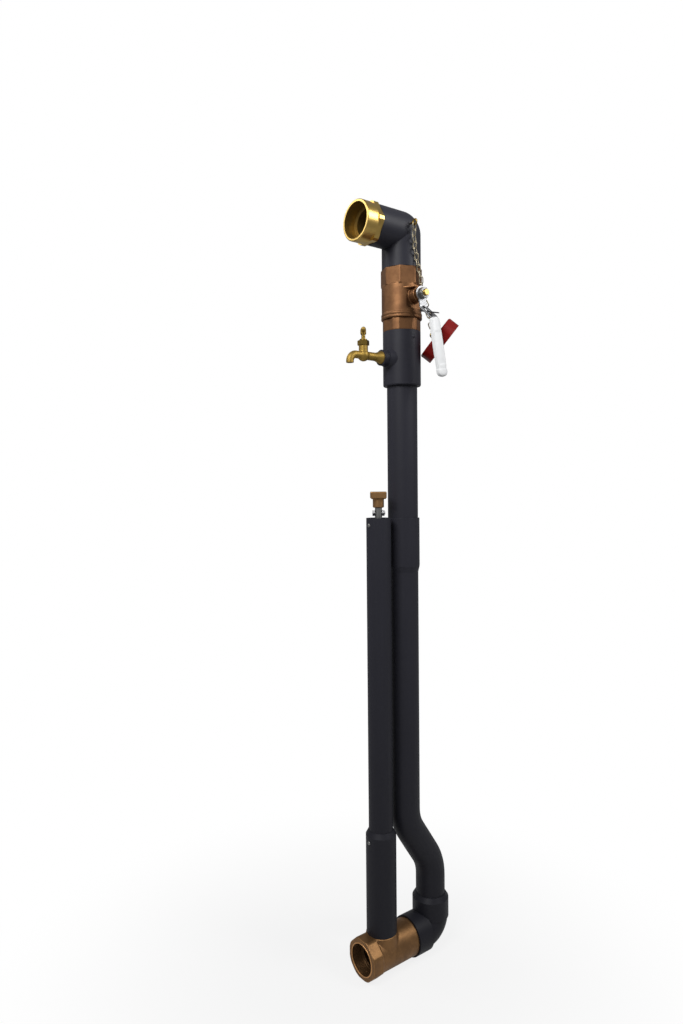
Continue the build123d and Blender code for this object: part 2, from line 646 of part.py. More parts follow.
# Sampling tee and tap
def make_sampling_tee():
    """The tee: glued on the riser, screwed above, with a side boss for the tap."""
    body = disc(RISER, FITTING_R, TEE_BASE_Z + TEE_RIM, TEE_TOP_Z)
    body += cone(RISER, FITTING_R - TEE_RIM / 2, FITTING_R, TEE_BASE_Z, TEE_BASE_Z + TEE_RIM)
    body += disc(TAP, BOSS_R, 0, BOSS_REACH)
    body += cone(TAP, BOSS_R + BOSS_FLARE, BOSS_R, BOSS_FLARE_START, BOSS_FLARE_END)
    body -= disc(RISER, FITTING_BORE_R, TEE_BASE_Z, TEE_TOP_Z)
    body -= disc(RISER, RISER_R + GLUE_GAP, TEE_BASE_Z, TEE_BASE_Z + SOCKET_DEPTH)
    body -= disc(RISER, PIPE_THREAD_R + GLUE_GAP, TEE_TOP_Z - PIPE_THREAD_DEPTH, TEE_TOP_Z)
    return body - disc(TAP, BUSHING_THREAD_R + GLUE_GAP, 0, BOSS_REACH)


BUSHING_FACE = BOSS_REACH + BUSHING_LENGTH


def make_tap_bushing():
    """The reducing bushing between the tee's boss and the tap."""
    body = disc(TAP, BUSHING_THREAD_R, BOSS_REACH - BUSHING_THREAD, BOSS_REACH)
    body += disc(TAP, BUSHING_R, BOSS_REACH, BUSHING_FACE)
    return body - disc(TAP, BUSHING_BORE_R, BOSS_REACH - BUSHING_THREAD, BUSHING_FACE)


def tap_spout(radius, drop):
    """A rod of the radius that leaves the neck's axis towards -Y, below the tap's axis, and bends down."""
    start_y = RISER_TOP_Y - TAP_NECK_REACH
    end_y = RISER_TOP_Y - TAP_SPOUT_REACH
    path = FilletPolyline(
        (0, start_y, TAP_Z - drop),
        (0, end_y, TAP_Z - drop),
        (0, end_y, TAP_Z - TAP_SPOUT_DROP),
        radius=TAP_SPOUT_BEND - drop,
    )
    section = Plane(origin=(0, start_y, TAP_Z - drop), z_dir=(0, -1, 0)) * Circle(radius)
    return sweep(section, path)


def make_tap_body():
    """The brass tap: flared inlet, bulb with the seat, neck for the nut and curved spout."""
    spigot = disc(TAP, BUSHING_BORE_R - GLUE_GAP, BOSS_REACH - BUSHING_THREAD, BUSHING_FACE)
    flare = cone(TAP, FLARE_R, BARREL_R, BUSHING_FACE, BUSHING_FACE + FLARE_LENGTH)
    barrel = disc(TAP, BARREL_R, BUSHING_FACE + FLARE_LENGTH, TAP_NECK_REACH)
    bulb = TAP_NECK * Sphere(TAP_BULB_R)
    neck = disc(TAP_NECK, TAP_NECK_R, 0, TAP_NECK_TOP)
    body = spigot + flare + barrel + bulb + neck
    body += tap_spout(TAP_SPOUT_R, 0)

    feed = Plane(origin=(0, RISER_TOP_Y, TAP_Z + TAP_FEED_Z), z_dir=(0, -1, 0))
    inlet_end = TAP_NECK_REACH - TAP_WEB
    body -= disc(TAP, TAP_INLET_BORE_R, BOSS_REACH - BUSHING_THREAD, inlet_end)
    body -= disc(feed, TAP_FEED_R, inlet_end - TAP_FEED_LAP, TAP_NECK_REACH)
    body -= disc(TAP_NECK, TAP_CHAMBER_R, TAP_SEAT_Z, TAP_NECK_TOP)
    body -= disc(TAP_NECK, TAP_SEAT_BORE_R, -TAP_LOWER_BORE_DROP, TAP_SEAT_Z)
    return body - tap_spout(TAP_SPOUT_BORE_R, TAP_LOWER_BORE_DROP)


TAP_NUT_TOP = TAP_NECK_TOP + TAP_NUT_HEIGHT
TAP_WASHER_Z = TAP_SEAT_Z + RUN_GAP
TAP_JUMPER_Z = TAP_WASHER_Z + TAP_WASHER
TAP_STEM_Z = TAP_JUMPER_Z + TAP_JUMPER + RUN_GAP


def make_tap_packing_nut():
    """The hexagon nut on the tap's neck, with a collar round the stem."""
    nut = crowned_nut(TAP_NECK, TAP_NUT_FLATS, TAP_NECK_TOP, TAP_NUT_TOP)
    nut += disc(TAP_NECK, TAP_NUT_COLLAR_R, TAP_NUT_TOP, TAP_NUT_TOP + TAP_NUT_COLLAR)
    return nut - disc(TAP_NECK, TAP_STEM_R + SHAFT_GAP, TAP_NECK_TOP, TAP_NUT_TOP + TAP_NUT_COLLAR)


def make_tap_washer():
    """The rubber washer that closes on the tap's seat."""
    return disc(TAP_NECK, TAP_WASHER_R, TAP_WASHER_Z, TAP_JUMPER_Z)


def make_tap_jumper():
    """The jumper that carries the washer and lifts with the stem, without turning."""
    plate = disc(TAP_NECK, TAP_WASHER_R, TAP_JUMPER_Z, TAP_JUMPER_Z + TAP_JUMPER)
    pin_top = TAP_JUMPER_Z + TAP_JUMPER + TAP_JUMPER_PIN
    return plate + disc(TAP_NECK, TAP_JUMPER_PIN_R, TAP_JUMPER_Z + TAP_JUMPER, pin_top)


def make_tap_stem():
    """The stem, with a wider threaded foot that is drilled for the jumper's pin."""
    stem = disc(TAP_NECK, TAP_STEM_R, TAP_STEM_Z, TAP_STEM_TOP)
    stem += disc(TAP_NECK, TAP_STEM_FOOT_R, TAP_STEM_Z, TAP_NECK_TOP - TAP_LIFT - RUN_GAP)
    pin_top = TAP_JUMPER_Z + TAP_JUMPER + TAP_JUMPER_PIN
    return stem - disc(TAP_NECK, TAP_JUMPER_PIN_R + SHAFT_GAP, TAP_STEM_Z, pin_top + RUN_GAP)


BAR_Z = TAP_STEM_TOP + TAP_BAR_HUB / 2
BAR = Plane(
    origin=(0, RISER_TOP_Y - TAP_NECK_REACH, TAP_Z + BAR_Z),
    z_dir=(cos(radians(TAP_BAR_TURN)), sin(radians(TAP_BAR_TURN)), 0),
)


def make_tap_handle():
    """The cross bar handle: a hub on the stem and a bar with balls at its ends."""
    hub = disc(TAP_NECK, TAP_BAR_HUB_R, TAP_STEM_TOP, TAP_STEM_TOP + TAP_BAR_HUB)
    hub = fillet(hub.edges().group_by(Axis.Z)[-1], TAP_BAR_HUB_R / 2)
    bar = disc(BAR, TAP_BAR_R, -TAP_BAR_HALF, TAP_BAR_HALF)
    balls = [BAR.offset(side * TAP_BAR_HALF) * Sphere(TAP_BAR_BALL_R) for side in (-1, 1)]
    return hub + bar + balls[0] + balls[1]


# Ball valve
def make_valve_nipples():
    """The two screwed nipples that join the valve to the tee and to the elbow."""
    bite = PIPE_THREAD_DEPTH - THREAD_SPARE
    lower = ring(RISER, PIPE_THREAD_R, NIPPLE_BORE_R, TEE_TOP_Z - bite, END_SHELF_Z)
    upper = ring(RISER, PIPE_THREAD_R, NIPPLE_BORE_R, VALVE_TOP_Z - bite, VALVE_TOP_Z + PIPE_THREAD_DEPTH)
    return lower, upper


LOWER_SEAT_Z = STEM_Z - SEAT_RING_HIGH
UPPER_SEAT_Z = STEM_Z + SEAT_RING_HIGH
END_SHELF_Z = LOWER_SEAT_Z - SHELF_DROP


def make_valve_end_piece():
    """The hexagon end that screws into the valve's body from below."""
    hexagon = prism(RISER, HEX_FLATS, 6, TEE_TOP_Z, VALVE_BASE_Z)
    hexagon &= disc(RISER, HEX_CORNER_R, TEE_TOP_Z, VALVE_BASE_Z)
    body = hexagon + disc(RISER, SPIGOT_R - GLUE_GAP, VALVE_BASE_Z, LOWER_SEAT_Z)
    body -= disc(RISER, PORT_R, TEE_TOP_Z, LOWER_SEAT_Z)
    return body - disc(RISER, PIPE_THREAD_R + GLUE_GAP, TEE_TOP_Z, END_SHELF_Z)


def make_ball_valve_body():
    """The valve's body: wrench flats above, beads below, a pad and a boss for the stem."""
    low = VALVE_BASE_Z
    flats = prism(RISER, VALVE_FLATS, 8, low + VALVE_FLATS_LOW, VALVE_TOP_Z)
    flats &= disc(RISER, VALVE_CORNER_R, low + VALVE_FLATS_LOW, VALVE_TOP_Z)
    body = disc(RISER, VALVE_R, low, low + VALVE_FLATS_LOW) + flats
    for count in range(VALVE_BEADS):
        bead = low + VALVE_BEAD_START + count * VALVE_BEAD_PITCH
        body += disc(RISER, VALVE_BEAD_R, bead, bead + VALVE_BEAD)
    pad_depth = 2 * VALVE_R - PAD_X
    pad = Box(pad_depth, 2 * VALVE_R, PAD_HIGH - PAD_LOW, align=(Align.MIN, Align.CENTER, Align.MIN))
    body -= Pos(PAD_X, RISER_TOP_Y, low + PAD_LOW) * pad
    body += disc(STEM, STEM_BOSS_R, STEM_BOSS_ROOT_X, STEM_BOSS_X)

    body -= disc(RISER, SPIGOT_R, low, LOWER_SEAT_Z)
    body -= disc(RISER, CHAMBER_R, LOWER_SEAT_Z, UPPER_SEAT_Z)
    body -= disc(RISER, PORT_R, UPPER_SEAT_Z, VALVE_TOP_Z)
    body -= disc(RISER, PIPE_THREAD_R + GLUE_GAP, VALVE_TOP_Z - PIPE_THREAD_DEPTH, VALVE_TOP_Z)
    body -= disc(STEM, STEM_COLLAR_R + RUN_GAP, 0, BALL_R + STEM_COLLAR + 2 * RUN_GAP)
    body -= disc(STEM, STEM_R + SHAFT_GAP, 0, STEM_BOSS_X)
    return body - disc(STEM, PACKING_R, PACKING_POCKET_X, STEM_BOSS_X)


def make_ball_seats():
    """The two white seat rings, hollowed to the ball."""
    hollow = Pos(0, RISER_TOP_Y, STEM_Z) * Sphere(BALL_R + RUN_GAP)
    upper = ring(RISER, SEAT_RING_R, SEAT_RING_BORE_R, STEM_Z + SEAT_RING_LOW, UPPER_SEAT_Z) - hollow
    lower = ring(RISER, SEAT_RING_R, SEAT_RING_BORE_R, LOWER_SEAT_Z, STEM_Z - SEAT_RING_LOW) - hollow
    return upper, lower


def make_valve_ball():
    """The ball with its port and the slot for the stem's tang."""
    ball = Pos(0, RISER_TOP_Y, STEM_Z) * Sphere(BALL_R)
    ball -= disc(RISER, PORT_R, STEM_Z - 2 * BALL_R, STEM_Z + 2 * BALL_R)
    slot = Box(2 * STEM_TANG, STEM_TANG_THICK + 2 * GLUE_GAP, 2 * BALL_R)
    return ball - Pos(BALL_R, RISER_TOP_Y, STEM_Z) * slot


def make_valve_stem():
    """The stem from the ball's slot to the lever's nut."""
    tang_depth = STEM_TANG - GLUE_GAP
    tang = Box(tang_depth, STEM_TANG_THICK, STEM_TANG_WIDE, align=(Align.MAX, Align.CENTER, Align.CENTER))
    stem = Pos(BALL_R + RUN_GAP, RISER_TOP_Y, STEM_Z) * tang
    stem += disc(STEM, STEM_COLLAR_R, BALL_R + RUN_GAP, BALL_R + RUN_GAP + STEM_COLLAR)
    straight_end = STEM_END_X - STEM_END_CHAMFER
    stem += disc(STEM, STEM_R, BALL_R + RUN_GAP, straight_end)
    return stem + cone(STEM, STEM_R, STEM_R - STEM_END_CHAMFER, straight_end, STEM_END_X)


def make_stem_packing():
    """The white packing ring round the stem."""
    inner = STEM_R + SHAFT_GAP
    return ring(STEM, PACKING_R - GLUE_GAP, inner, PACKING_POCKET_X, PACKING_POCKET_X + PACKING_LENGTH)


def make_packing_gland():
    """The gland nut that presses the packing ring."""
    inner = STEM_R + SHAFT_GAP
    body = disc(STEM, PACKING_R - GLUE_GAP, PACKING_POCKET_X + PACKING_LENGTH, STEM_BOSS_X)
    body += prism(STEM, GLAND_FLATS, 6, STEM_BOSS_X, STEM_BOSS_X + GLAND_HEAD)
    return body - disc(STEM, inner, PACKING_POCKET_X + PACKING_LENGTH, STEM_BOSS_X + GLAND_HEAD)


# Lever, grip, nut and lock, modelled round the stem's axis and then turned to their place
LEVER_PLACE = Pos(0, RISER_TOP_Y, STEM_Z) * Rot(LEVER_REST_TURN, 0, 0)
LEVER_IN_X = LEVER_X - LEVER_THICK / 2
LEVER_OUT_X = LEVER_X + LEVER_THICK / 2
BLADE_ANGLE = degrees(atan2(LEVER_TIP_X - LEVER_SHIN_X, LEVER_SHIN_Z - LEVER_TIP_Z))
BLADE_LENGTH = ((LEVER_TIP_X - LEVER_SHIN_X) ** 2 + (LEVER_TIP_Z - LEVER_SHIN_Z) ** 2) ** 0.5


def make_valve_lever():
    """The steel lever: a plate bent twice, with a round hub, a slot and a blade for the grip."""
    path = FilletPolyline(
        (LEVER_X, 0, LEVER_TAIL),
        (LEVER_X, 0, LEVER_KNEE_Z),
        (LEVER_SHIN_X, 0, LEVER_SHIN_Z),
        (LEVER_TIP_X, 0, LEVER_TIP_Z),
        radius=LEVER_BEND,
    )
    start = Plane(origin=(LEVER_X, 0, LEVER_TAIL), x_dir=(1, 0, 0), z_dir=(0, 0, -1))
    plate = sweep(start * Rectangle(LEVER_THICK, 2 * LEVER_HUB_R), path)
    front = Plane(origin=(0, 0, 0), x_dir=(0, 1, 0), z_dir=(1, 0, 0))
    hub = Circle(LEVER_HUB_R)
    neck = Pos(0, LEVER_SHIN_Z / 2) * Rectangle(LEVER_NECK_W, -LEVER_SHIN_Z)
    blade_low = LEVER_TIP_Z + LEVER_BLADE_W / 2
    blade = Pos(0, (LEVER_SHIN_Z + blade_low) / 2) * Rectangle(LEVER_BLADE_W, LEVER_SHIN_Z - blade_low)
    tip = Pos(0, blade_low) * Circle(LEVER_BLADE_W / 2)
    outline = extrude(front * (hub + neck + blade + tip), LEVER_TIP_X + LEVER_THICK)
    lever = plate & outline
    crossing = lock_crossing_z(0)
    rise = lock_crossing_z(LOCK_TRAVEL) - crossing
    slot = Box(2 * LEVER_SHIN_X, LOCK_TAB_W + 2 * RUN_GAP, rise + LOCK_THICK + 2 * LOCK_SLOT_SPARE)
    lever -= Pos(LEVER_OUT_X, 0, crossing + rise / 2) * slot
    lever -= disc(front, STEM_R + GLUE_GAP, 0, LEVER_OUT_X + PAST)
    return LEVER_PLACE * lever


def lock_crossing_z(lift):
    """The height at which the tab of the lock, raised by lift, passes through the lever's sloped neck."""
    lock_slope = (LOCK_TIP_Z - LOCK_KNEE_Z) / (LOCK_TIP_X - LOCK_X)
    neck_slope = (LEVER_SHIN_Z - LEVER_KNEE_Z) / (LEVER_SHIN_X - LEVER_X)
    start_z = LOCK_KNEE_Z + lift
    offset = LEVER_KNEE_Z - neck_slope * LEVER_X - start_z + lock_slope * LOCK_X
    return start_z + lock_slope * (offset / (lock_slope - neck_slope) - LOCK_X)


def make_lever_grip():
    """The soft sleeve over the lever's blade, closed and rounded at its end."""
    length = BLADE_LENGTH + GRIP_END
    corner = (Align.CENTER, Align.CENTER, Align.MAX)
    grip = Box(GRIP_THICK, GRIP_W, length, align=corner)
    grip = fillet(grip.edges().filter_by(Axis.X).group_by(Axis.Z)[0], GRIP_CORNER)
    sides = grip.faces().filter_by(Axis.X).edges()
    grip = fillet(sides - grip.faces().sort_by(Axis.Z)[-1].edges(), GRIP_ROUND)
    pocket_w = LEVER_BLADE_W + 2 * GLUE_GAP
    pocket = Box(LEVER_THICK + 2 * GLUE_GAP, pocket_w, BLADE_LENGTH, align=corner)
    pocket = fillet(pocket.edges().filter_by(Axis.X).group_by(Axis.Z)[0], (pocket_w - GRIP_POCKET_FLAT) / 2)
    grip -= pocket
    grip -= Pos(0, 0, -GRIP_TOP_DROP) * Box(2 * GRIP_W, 2 * GRIP_W, 2 * GRIP_W, align=FROM_BASE)
    return LEVER_PLACE * Pos(LEVER_SHIN_X, 0, LEVER_SHIN_Z) * Rot(0, -BLADE_ANGLE, 0) * grip


def make_lever_nut():
    """The hexagon nut that holds the lever on the stem."""
    nut = crowned_nut(STEM, LEVER_NUT_FLATS, LEVER_OUT_X, LEVER_OUT_X + LEVER_NUT, LEVER_REST_TURN)
    return nut - disc(STEM, STEM_R + GLUE_GAP, LEVER_OUT_X, LEVER_OUT_X + LEVER_NUT)


LOCK_X = LEVER_IN_X - RUN_GAP - LOCK_THICK / 2


def make_lock_slide():
    """The lock: a plate behind the lever with a pointed tab bent out through the lever's slot."""
    plate_high = LOCK_TOP_Z - LOCK_KNEE_Z
    plate = Box(LOCK_THICK, LOCK_W, plate_high, align=FROM_BASE)
    plate = fillet(plate.edges().filter_by(Axis.X), LOCK_CORNER)
    lock = Pos(LOCK_X, 0, LOCK_KNEE_Z) * plate
    run = LOCK_TIP_X - LOCK_X
    length = (run**2 + (LOCK_TIP_Z - LOCK_KNEE_Z) ** 2) ** 0.5
    slope = degrees(atan2(LOCK_KNEE_Z - LOCK_TIP_Z, run))
    half = LOCK_TAB_W / 2
    shoulder = length * (1 - LOCK_POINT_SHARE)
    outline = Polyline((0, -half), (shoulder, -half), (length, 0), (shoulder, half), (0, half), close=True)
    tab = extrude(Plane.XY.offset(-LOCK_THICK / 2) * make_face(outline), LOCK_THICK)
    lock += Pos(LOCK_X, 0, LOCK_KNEE_Z + LOCK_THICK / 2) * Rot(0, slope, 0) * tab
    return LEVER_PLACE * lock


# Nozzle
def make_nozzle_adaptor():
    """The brass nozzle: screwed tail, hexagon flange and a wide round mouth."""
    face = TOP_ELBOW_OUT + NOZZLE_LENGTH
    tail = disc(NOZZLE, PIPE_THREAD_R, TOP_ELBOW_OUT - PIPE_THREAD_DEPTH, TOP_ELBOW_OUT)
    flange = prism(NOZZLE, NOZZLE_HEX_FLATS, 6, TOP_ELBOW_OUT, TOP_ELBOW_OUT + NOZZLE_HEX)
    flange &= disc(NOZZLE, NOZZLE_HEX_CORNER_R, TOP_ELBOW_OUT, TOP_ELBOW_OUT + NOZZLE_HEX)
    barrel = disc(NOZZLE, NOZZLE_R, TOP_ELBOW_OUT + NOZZLE_HEX, face)
    barrel = fillet(barrel.edges().group_by(Axis.Y)[0], NOZZLE_RIM_ROUND)
    body = tail + flange + barrel
    body -= disc(NOZZLE, FITTING_BORE_R, TOP_ELBOW_OUT - PIPE_THREAD_DEPTH, face)
    return body - disc(NOZZLE, NOZZLE_BORE_R, face - NOZZLE_BORE_DEPTH, face)


# Chain eye, chain and cap
EYE = Plane(origin=(0, RISER_TOP_Y - EYE_BACK, NOZZLE_Z + EYE_RISE), x_dir=(0, 1, 0), z_dir=(1, 0, 0))
EYE_X = TOP_ELBOW_R + EYE_SHANK + EYE_R
EYE_CENTRE = Vector(EYE_X, RISER_TOP_Y - EYE_BACK, NOZZLE_Z + EYE_RISE)
CAP_CENTRE = Vector(CAP_CENTRE_X, RISER_TOP_Y + CAP_CENTRE_Y, TEE_BASE_Z + CAP_CENTRE_RISE)
CAP_SIDE = Vector(0, 1, 0).rotate(Axis.Z, CAP_BEARING_TURN)
CAP_LEVEL_AXIS = Vector(1, 0, 0).rotate(Axis.Z, CAP_BEARING_TURN)
CAP_AXIS = CAP_LEVEL_AXIS * cos(radians(CAP_TILT_ANGLE)) + Vector(0, 0, sin(radians(CAP_TILT_ANGLE)))
CAP = Plane(origin=CAP_CENTRE, x_dir=CAP_SIDE, z_dir=CAP_AXIS)
CAP_FACE = CAP_HEIGHT / 2
CAP_EYE_RISE = CAP_FACE + RUN_GAP + CAP_EYE_WIRE_R
CAP_EYE_CENTRE = CAP_CENTRE + CAP_AXIS * (CAP_EYE_RISE + CAP_EYE_R)


def wire_ring(centre, normal, ring_r, wire_r):
    """A ring of round wire about the centre, whose hole faces along the normal."""
    return Plane(origin=centre, z_dir=normal) * Torus(ring_r, wire_r)


def make_chain_eye():
    """The brass screw eye in the elbow's side."""
    shank = disc(EYE, EYE_WIRE_R, TOP_ELBOW_R - EYE_BITE, EYE_X - EYE_R)
    return shank + wire_ring(EYE_CENTRE, (0, 1, 0), EYE_R, EYE_WIRE_R)


def make_cap_eye():
    """The ring riveted to the middle of the cap."""
    foot = disc(CAP, CAP_EYE_FOOT_R, CAP_FACE - CAP_TOP + CAP_EYE_FLOOR, CAP_EYE_RISE)
    return foot + wire_ring(CAP_EYE_CENTRE, CAP_SIDE, CAP_EYE_R, CAP_EYE_WIRE_R)


def inside_eye(centre, normal, ring_r, wire_r, towards):
    """Where the chain's line begins in an eye, just past the wire that it pulls towards a point."""
    pull = (towards - centre).project_to_plane(Plane(origin=(0, 0, 0), z_dir=normal)).normalized()
    wire = centre + pull * ring_r
    return wire - (towards - wire).normalized() * (wire_r + LINK_PLAY / 2)


def chain_points():
    """The chain's line: from inside the elbow's eye to inside the cap's eye."""
    middle = [Vector(x, RISER_TOP_Y + y, TEE_BASE_Z + rise) for x, y, rise in CHAIN_ROUTE]
    start = inside_eye(EYE_CENTRE, (0, 1, 0), EYE_R, EYE_WIRE_R, middle[0])
    end = inside_eye(CAP_EYE_CENTRE, CAP_SIDE, CAP_EYE_R, CAP_EYE_WIRE_R, middle[-1])
    return [start, *middle, end]


def chain_link(pitch):
    """One link in the XZ plane, long along Z: its wire runs straight and turns in eight bends."""
    bend = LINK_INNER_W / 2 + LINK_WIRE_R
    straight = pitch + LINK_PLAY + 2 * LINK_WIRE_R - 2 * bend
    corner_r = bend / cos(radians(OCTAGON_TURN))
    turns = [radians(OCTAGON_TURN * count) for count in (1, 3, 5, 7)]
    top = [(corner_r * cos(turn), 0, straight / 2 + corner_r * sin(turn)) for turn in turns]
    low = [(-x, 0, -z) for x, y, z in top]
    start = (bend, 0, 0)
    section = Plane(origin=start, z_dir=(0, 0, 1)) * RegularPolygon(LINK_WIRE_R, LINK_WIRE_SIDES)
    return sweep(section, Polyline(start, *top, *low, start), transition=Transition.RIGHT)


def make_cap_chain():
    """The chain: equal links at equal steps along its line, each turned a quarter from the last."""
    line = Spline(*chain_points())
    link = chain_link(line.length / LINK_COUNT)
    eye_side = Vector(0, 1, 0)
    links = []
    for count in range(LINK_COUNT):
        place = (count + 0.5) / LINK_COUNT
        side = eye_side * (1 - place) - CAP_SIDE * place
        plane = Plane(origin=line @ place, x_dir=side, z_dir=line % place)
        links.append(plane.location * Rot(0, 0, 90 * (count % 2)) * link)
    return links


CAP_BORE_R = NOZZLE_R + CAP_GAP


def make_outlet_cap():
    """The red cap: an eight sided rim over the nozzle's mouth and a flat top."""
    body = prism(CAP, CAP_FLATS, 8, -CAP_FACE, CAP_FACE, OCTAGON_TURN)
    body &= disc(CAP, CAP_R, -CAP_FACE, CAP_FACE)
    body &= cone(CAP, CAP_R - CAP_EDGE + CAP_HEIGHT, CAP_R - CAP_EDGE, -CAP_FACE, CAP_FACE)
    body -= disc(CAP, CAP_BORE_R, -CAP_FACE, CAP_FACE - CAP_TOP)
    return body - disc(CAP, CAP_EYE_FOOT_R + GLUE_GAP, CAP_FACE - CAP_TOP, CAP_FACE)


def make_cap_gasket():
    """The flat ring inside the cap."""
    top = CAP_FACE - CAP_TOP
    return ring(CAP, CAP_BORE_R - GLUE_GAP, CAP_GASKET_BORE_R, top - CAP_GASKET, top)


def main():
    os.makedirs("parts", exist_ok=True)
    save("foot_valve_body", make_foot_valve_body())
    save("valve_seat_ring", make_valve_seat_ring())
    save("plunger", make_plunger())
    save("plunger_face", make_plunger_face())
    save("plunger_face_nut", make_plunger_face_nut())
    save("swivel_pins", *[swivel_pin(side, SWIVEL_PIN_R - GLUE_GAP / 2) for side in (-1, 1)])
    save("stem_guide", make_stem_guide())
    save("rod_seals", *[seal_ring(foot) for foot in seal_feet()])
    save("lower_casing_sleeve", make_lower_casing_sleeve())
    save("upper_casing_pipe", make_upper_casing_pipe())
    save("casing_set_screws", *make_casing_set_screws())
    save("casing_guide", make_casing_guide())
    save("operating_rod", make_operating_rod())
    save("operating_nut", make_operating_nut())
    save("stop_bolt", *make_stop_bolt())
    save("lower_elbow", make_lower_elbow())
    save("offset_riser_pipe", make_offset_riser_pipe())
    save("upper_riser_pipe", make_upper_riser_pipe())
    save("sampling_tee", make_sampling_tee())
    save("tap_bushing", make_tap_bushing())
    save("tap_body", make_tap_body())
    save("tap_packing_nut", make_tap_packing_nut())
    save("tap_washer", make_tap_washer())
    save("tap_jumper", make_tap_jumper())
    save("tap_stem", make_tap_stem())
    save("tap_handle", make_tap_handle())
    save("valve_nipples", *make_valve_nipples())
    save("valve_end_piece", make_valve_end_piece())
    save("ball_valve_body", make_ball_valve_body())
    save("ball_seats", *make_ball_seats())
    save("valve_ball", make_valve_ball())
    save("valve_stem", make_valve_stem())
    save("stem_packing", make_stem_packing())
    save("packing_gland", make_packing_gland())
    save("valve_lever", make_valve_lever())
    save("lever_grip", make_lever_grip())
    save("lever_nut", make_lever_nut())
    save("lock_slide", make_lock_slide())
    save("upper_elbow", make_upper_elbow())
    save("nozzle_adaptor", make_nozzle_adaptor())
    save("chain_eye", make_chain_eye())
    save("cap_chain", *make_cap_chain())
    save("outlet_cap", make_outlet_cap())
    save("cap_eye", make_cap_eye())
    save("cap_gasket", make_cap_gasket())


main()
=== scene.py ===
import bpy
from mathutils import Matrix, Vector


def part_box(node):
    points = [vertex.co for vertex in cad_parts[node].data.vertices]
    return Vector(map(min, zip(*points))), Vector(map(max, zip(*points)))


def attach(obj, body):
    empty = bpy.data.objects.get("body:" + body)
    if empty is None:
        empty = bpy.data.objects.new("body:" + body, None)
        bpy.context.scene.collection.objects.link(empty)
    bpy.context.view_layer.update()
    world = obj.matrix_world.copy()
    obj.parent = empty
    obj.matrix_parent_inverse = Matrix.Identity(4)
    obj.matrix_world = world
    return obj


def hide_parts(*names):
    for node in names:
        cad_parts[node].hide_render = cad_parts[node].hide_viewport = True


bl_info = {
    "name": "Sampling hydrant",
    "version": (1, 0, 0),
    "blender": (4, 5, 0),
    "location": "3D View > Sidebar > Hydrant",
    "description": "Finishes, small parts and studio for a self-draining sampling hydrant",
    "category": "Object",
}

import random
from math import cos, pi, radians, sin, tau

import bmesh
import bpy
from mathutils import Matrix, Vector

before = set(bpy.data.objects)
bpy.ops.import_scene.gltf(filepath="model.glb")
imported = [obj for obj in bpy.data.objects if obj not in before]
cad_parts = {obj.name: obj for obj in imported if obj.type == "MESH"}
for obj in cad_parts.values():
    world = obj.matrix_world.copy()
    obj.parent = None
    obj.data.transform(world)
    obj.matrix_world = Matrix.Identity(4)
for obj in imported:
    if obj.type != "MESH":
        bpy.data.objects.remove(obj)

X = Vector((1, 0, 0))
Y = Vector((0, 1, 0))
Z = Vector((0, 0, 1))


# Places read from the frame

def middle(node):
    low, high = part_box(node)
    return (Vector(low) + Vector(high)) / 2


def half_width(node):
    low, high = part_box(node)
    return (high[0] - low[0]) / 2


def top_of(node):
    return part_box(node)[1][2]


def foot_of(node):
    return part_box(node)[0][2]


CASING_AXIS = middle("upper_casing_pipe").to_2d()
RISER_AXIS = middle("upper_riser_pipe").to_2d()
TAP_AXIS = middle("tap_stem").to_2d()
RISER_R = half_width("upper_riser_pipe")
CASING_R = half_width("upper_casing_pipe")
LOWER_AXIS = Vector((0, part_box("offset_riser_pipe")[1][1] - RISER_R))
FOOT_CENTRE = (0, 0, 0)
STEM_CENTRE = (0, RISER_AXIS.y, middle("packing_gland").z)
NOZZLE_CENTRE = (0, 0, middle("nozzle_adaptor").z)

# Sizes of the details, in metres

MOUTH_THREAD_R = 0.0292
# Radii inside which painted shade darkens the foot's mouth and the nozzle's bore
MOUTH_SHADE_R = 0.0288
NOZZLE_SHADE_R = 0.0342
STEM_THREAD_R = 0.0063
THREAD_RUN = (0.0032, 0.0235)
LEDGE_ROOT = 0.028
LEDGE_EDGE = (
    (0.0280, 0.0250), (0.0310, 0.0240), (0.0380, 0.0195),
    (0.0450, 0.0158), (0.0500, 0.0138), (0.0515, 0.0120))
LEDGE_LEVELS = ((0.0126, 0.94), (0.0132, 1.0), (0.0156, 1.0), (0.0165, 0.93))
LIP_PROFILE = (
    (0.0293, 0.0008), (0.0294, -0.0006), (0.0300, -0.0011),
    (0.0309, -0.0010), (0.0318, -0.0002), (0.0320, 0.0008))
GATE_PROFILE = (
    (0.0034, -0.0006), (0.0034, 0.0001), (0.0029, 0.0006),
    (0.0019, 0.0010), (0.0009, 0.0011), (0.0002, 0.00112))

# Where the painted shade at the foot of the pipes fades out, in metres of height, and where an edge counts
# as worn on the castings and takes a painted highlight on the cap

LOW_SHADE_FADE = (-0.1, 0.75)
EDGE_WEAR_AND_HIGHLIGHT = (0.515, 0.56)

# The photograph's view: its picture in pixels, and the camera's place in metres

PICTURE_HEIGHT = 1024
FOCAL_LENGTH = 717.26
PICTURE_SHIFT = -4.141
SENSOR_HEIGHT = 24.0
CAMERA_PLACE = (1.07267, -0.85649, 0.92197)
LAMP_TARGET = Vector((0, 0.1, 1.4))


# Sizes and colours that a user would change

def colour(name, description, default):
    return bpy.props.FloatVectorProperty(
        name=name, description=description, default=default, size=3, min=0, max=1, subtype="COLOR")


def length(name, description, default):
    return bpy.props.FloatProperty(
        name=name, description=description, default=default, min=0, precision=5,
        subtype="DISTANCE", unit="LENGTH")


def share(name, description, default):
    return bpy.props.FloatProperty(
        name=name, description=description, default=default, min=0, max=1, subtype="FACTOR")


def power(name, description, default):
    return bpy.props.FloatProperty(name=name, description=description, default=default, min=0, unit="POWER")


def angle(name, description, degrees):
    return bpy.props.FloatProperty(
        name=name, description=description, default=radians(degrees), subtype="ANGLE", unit="ROTATION")


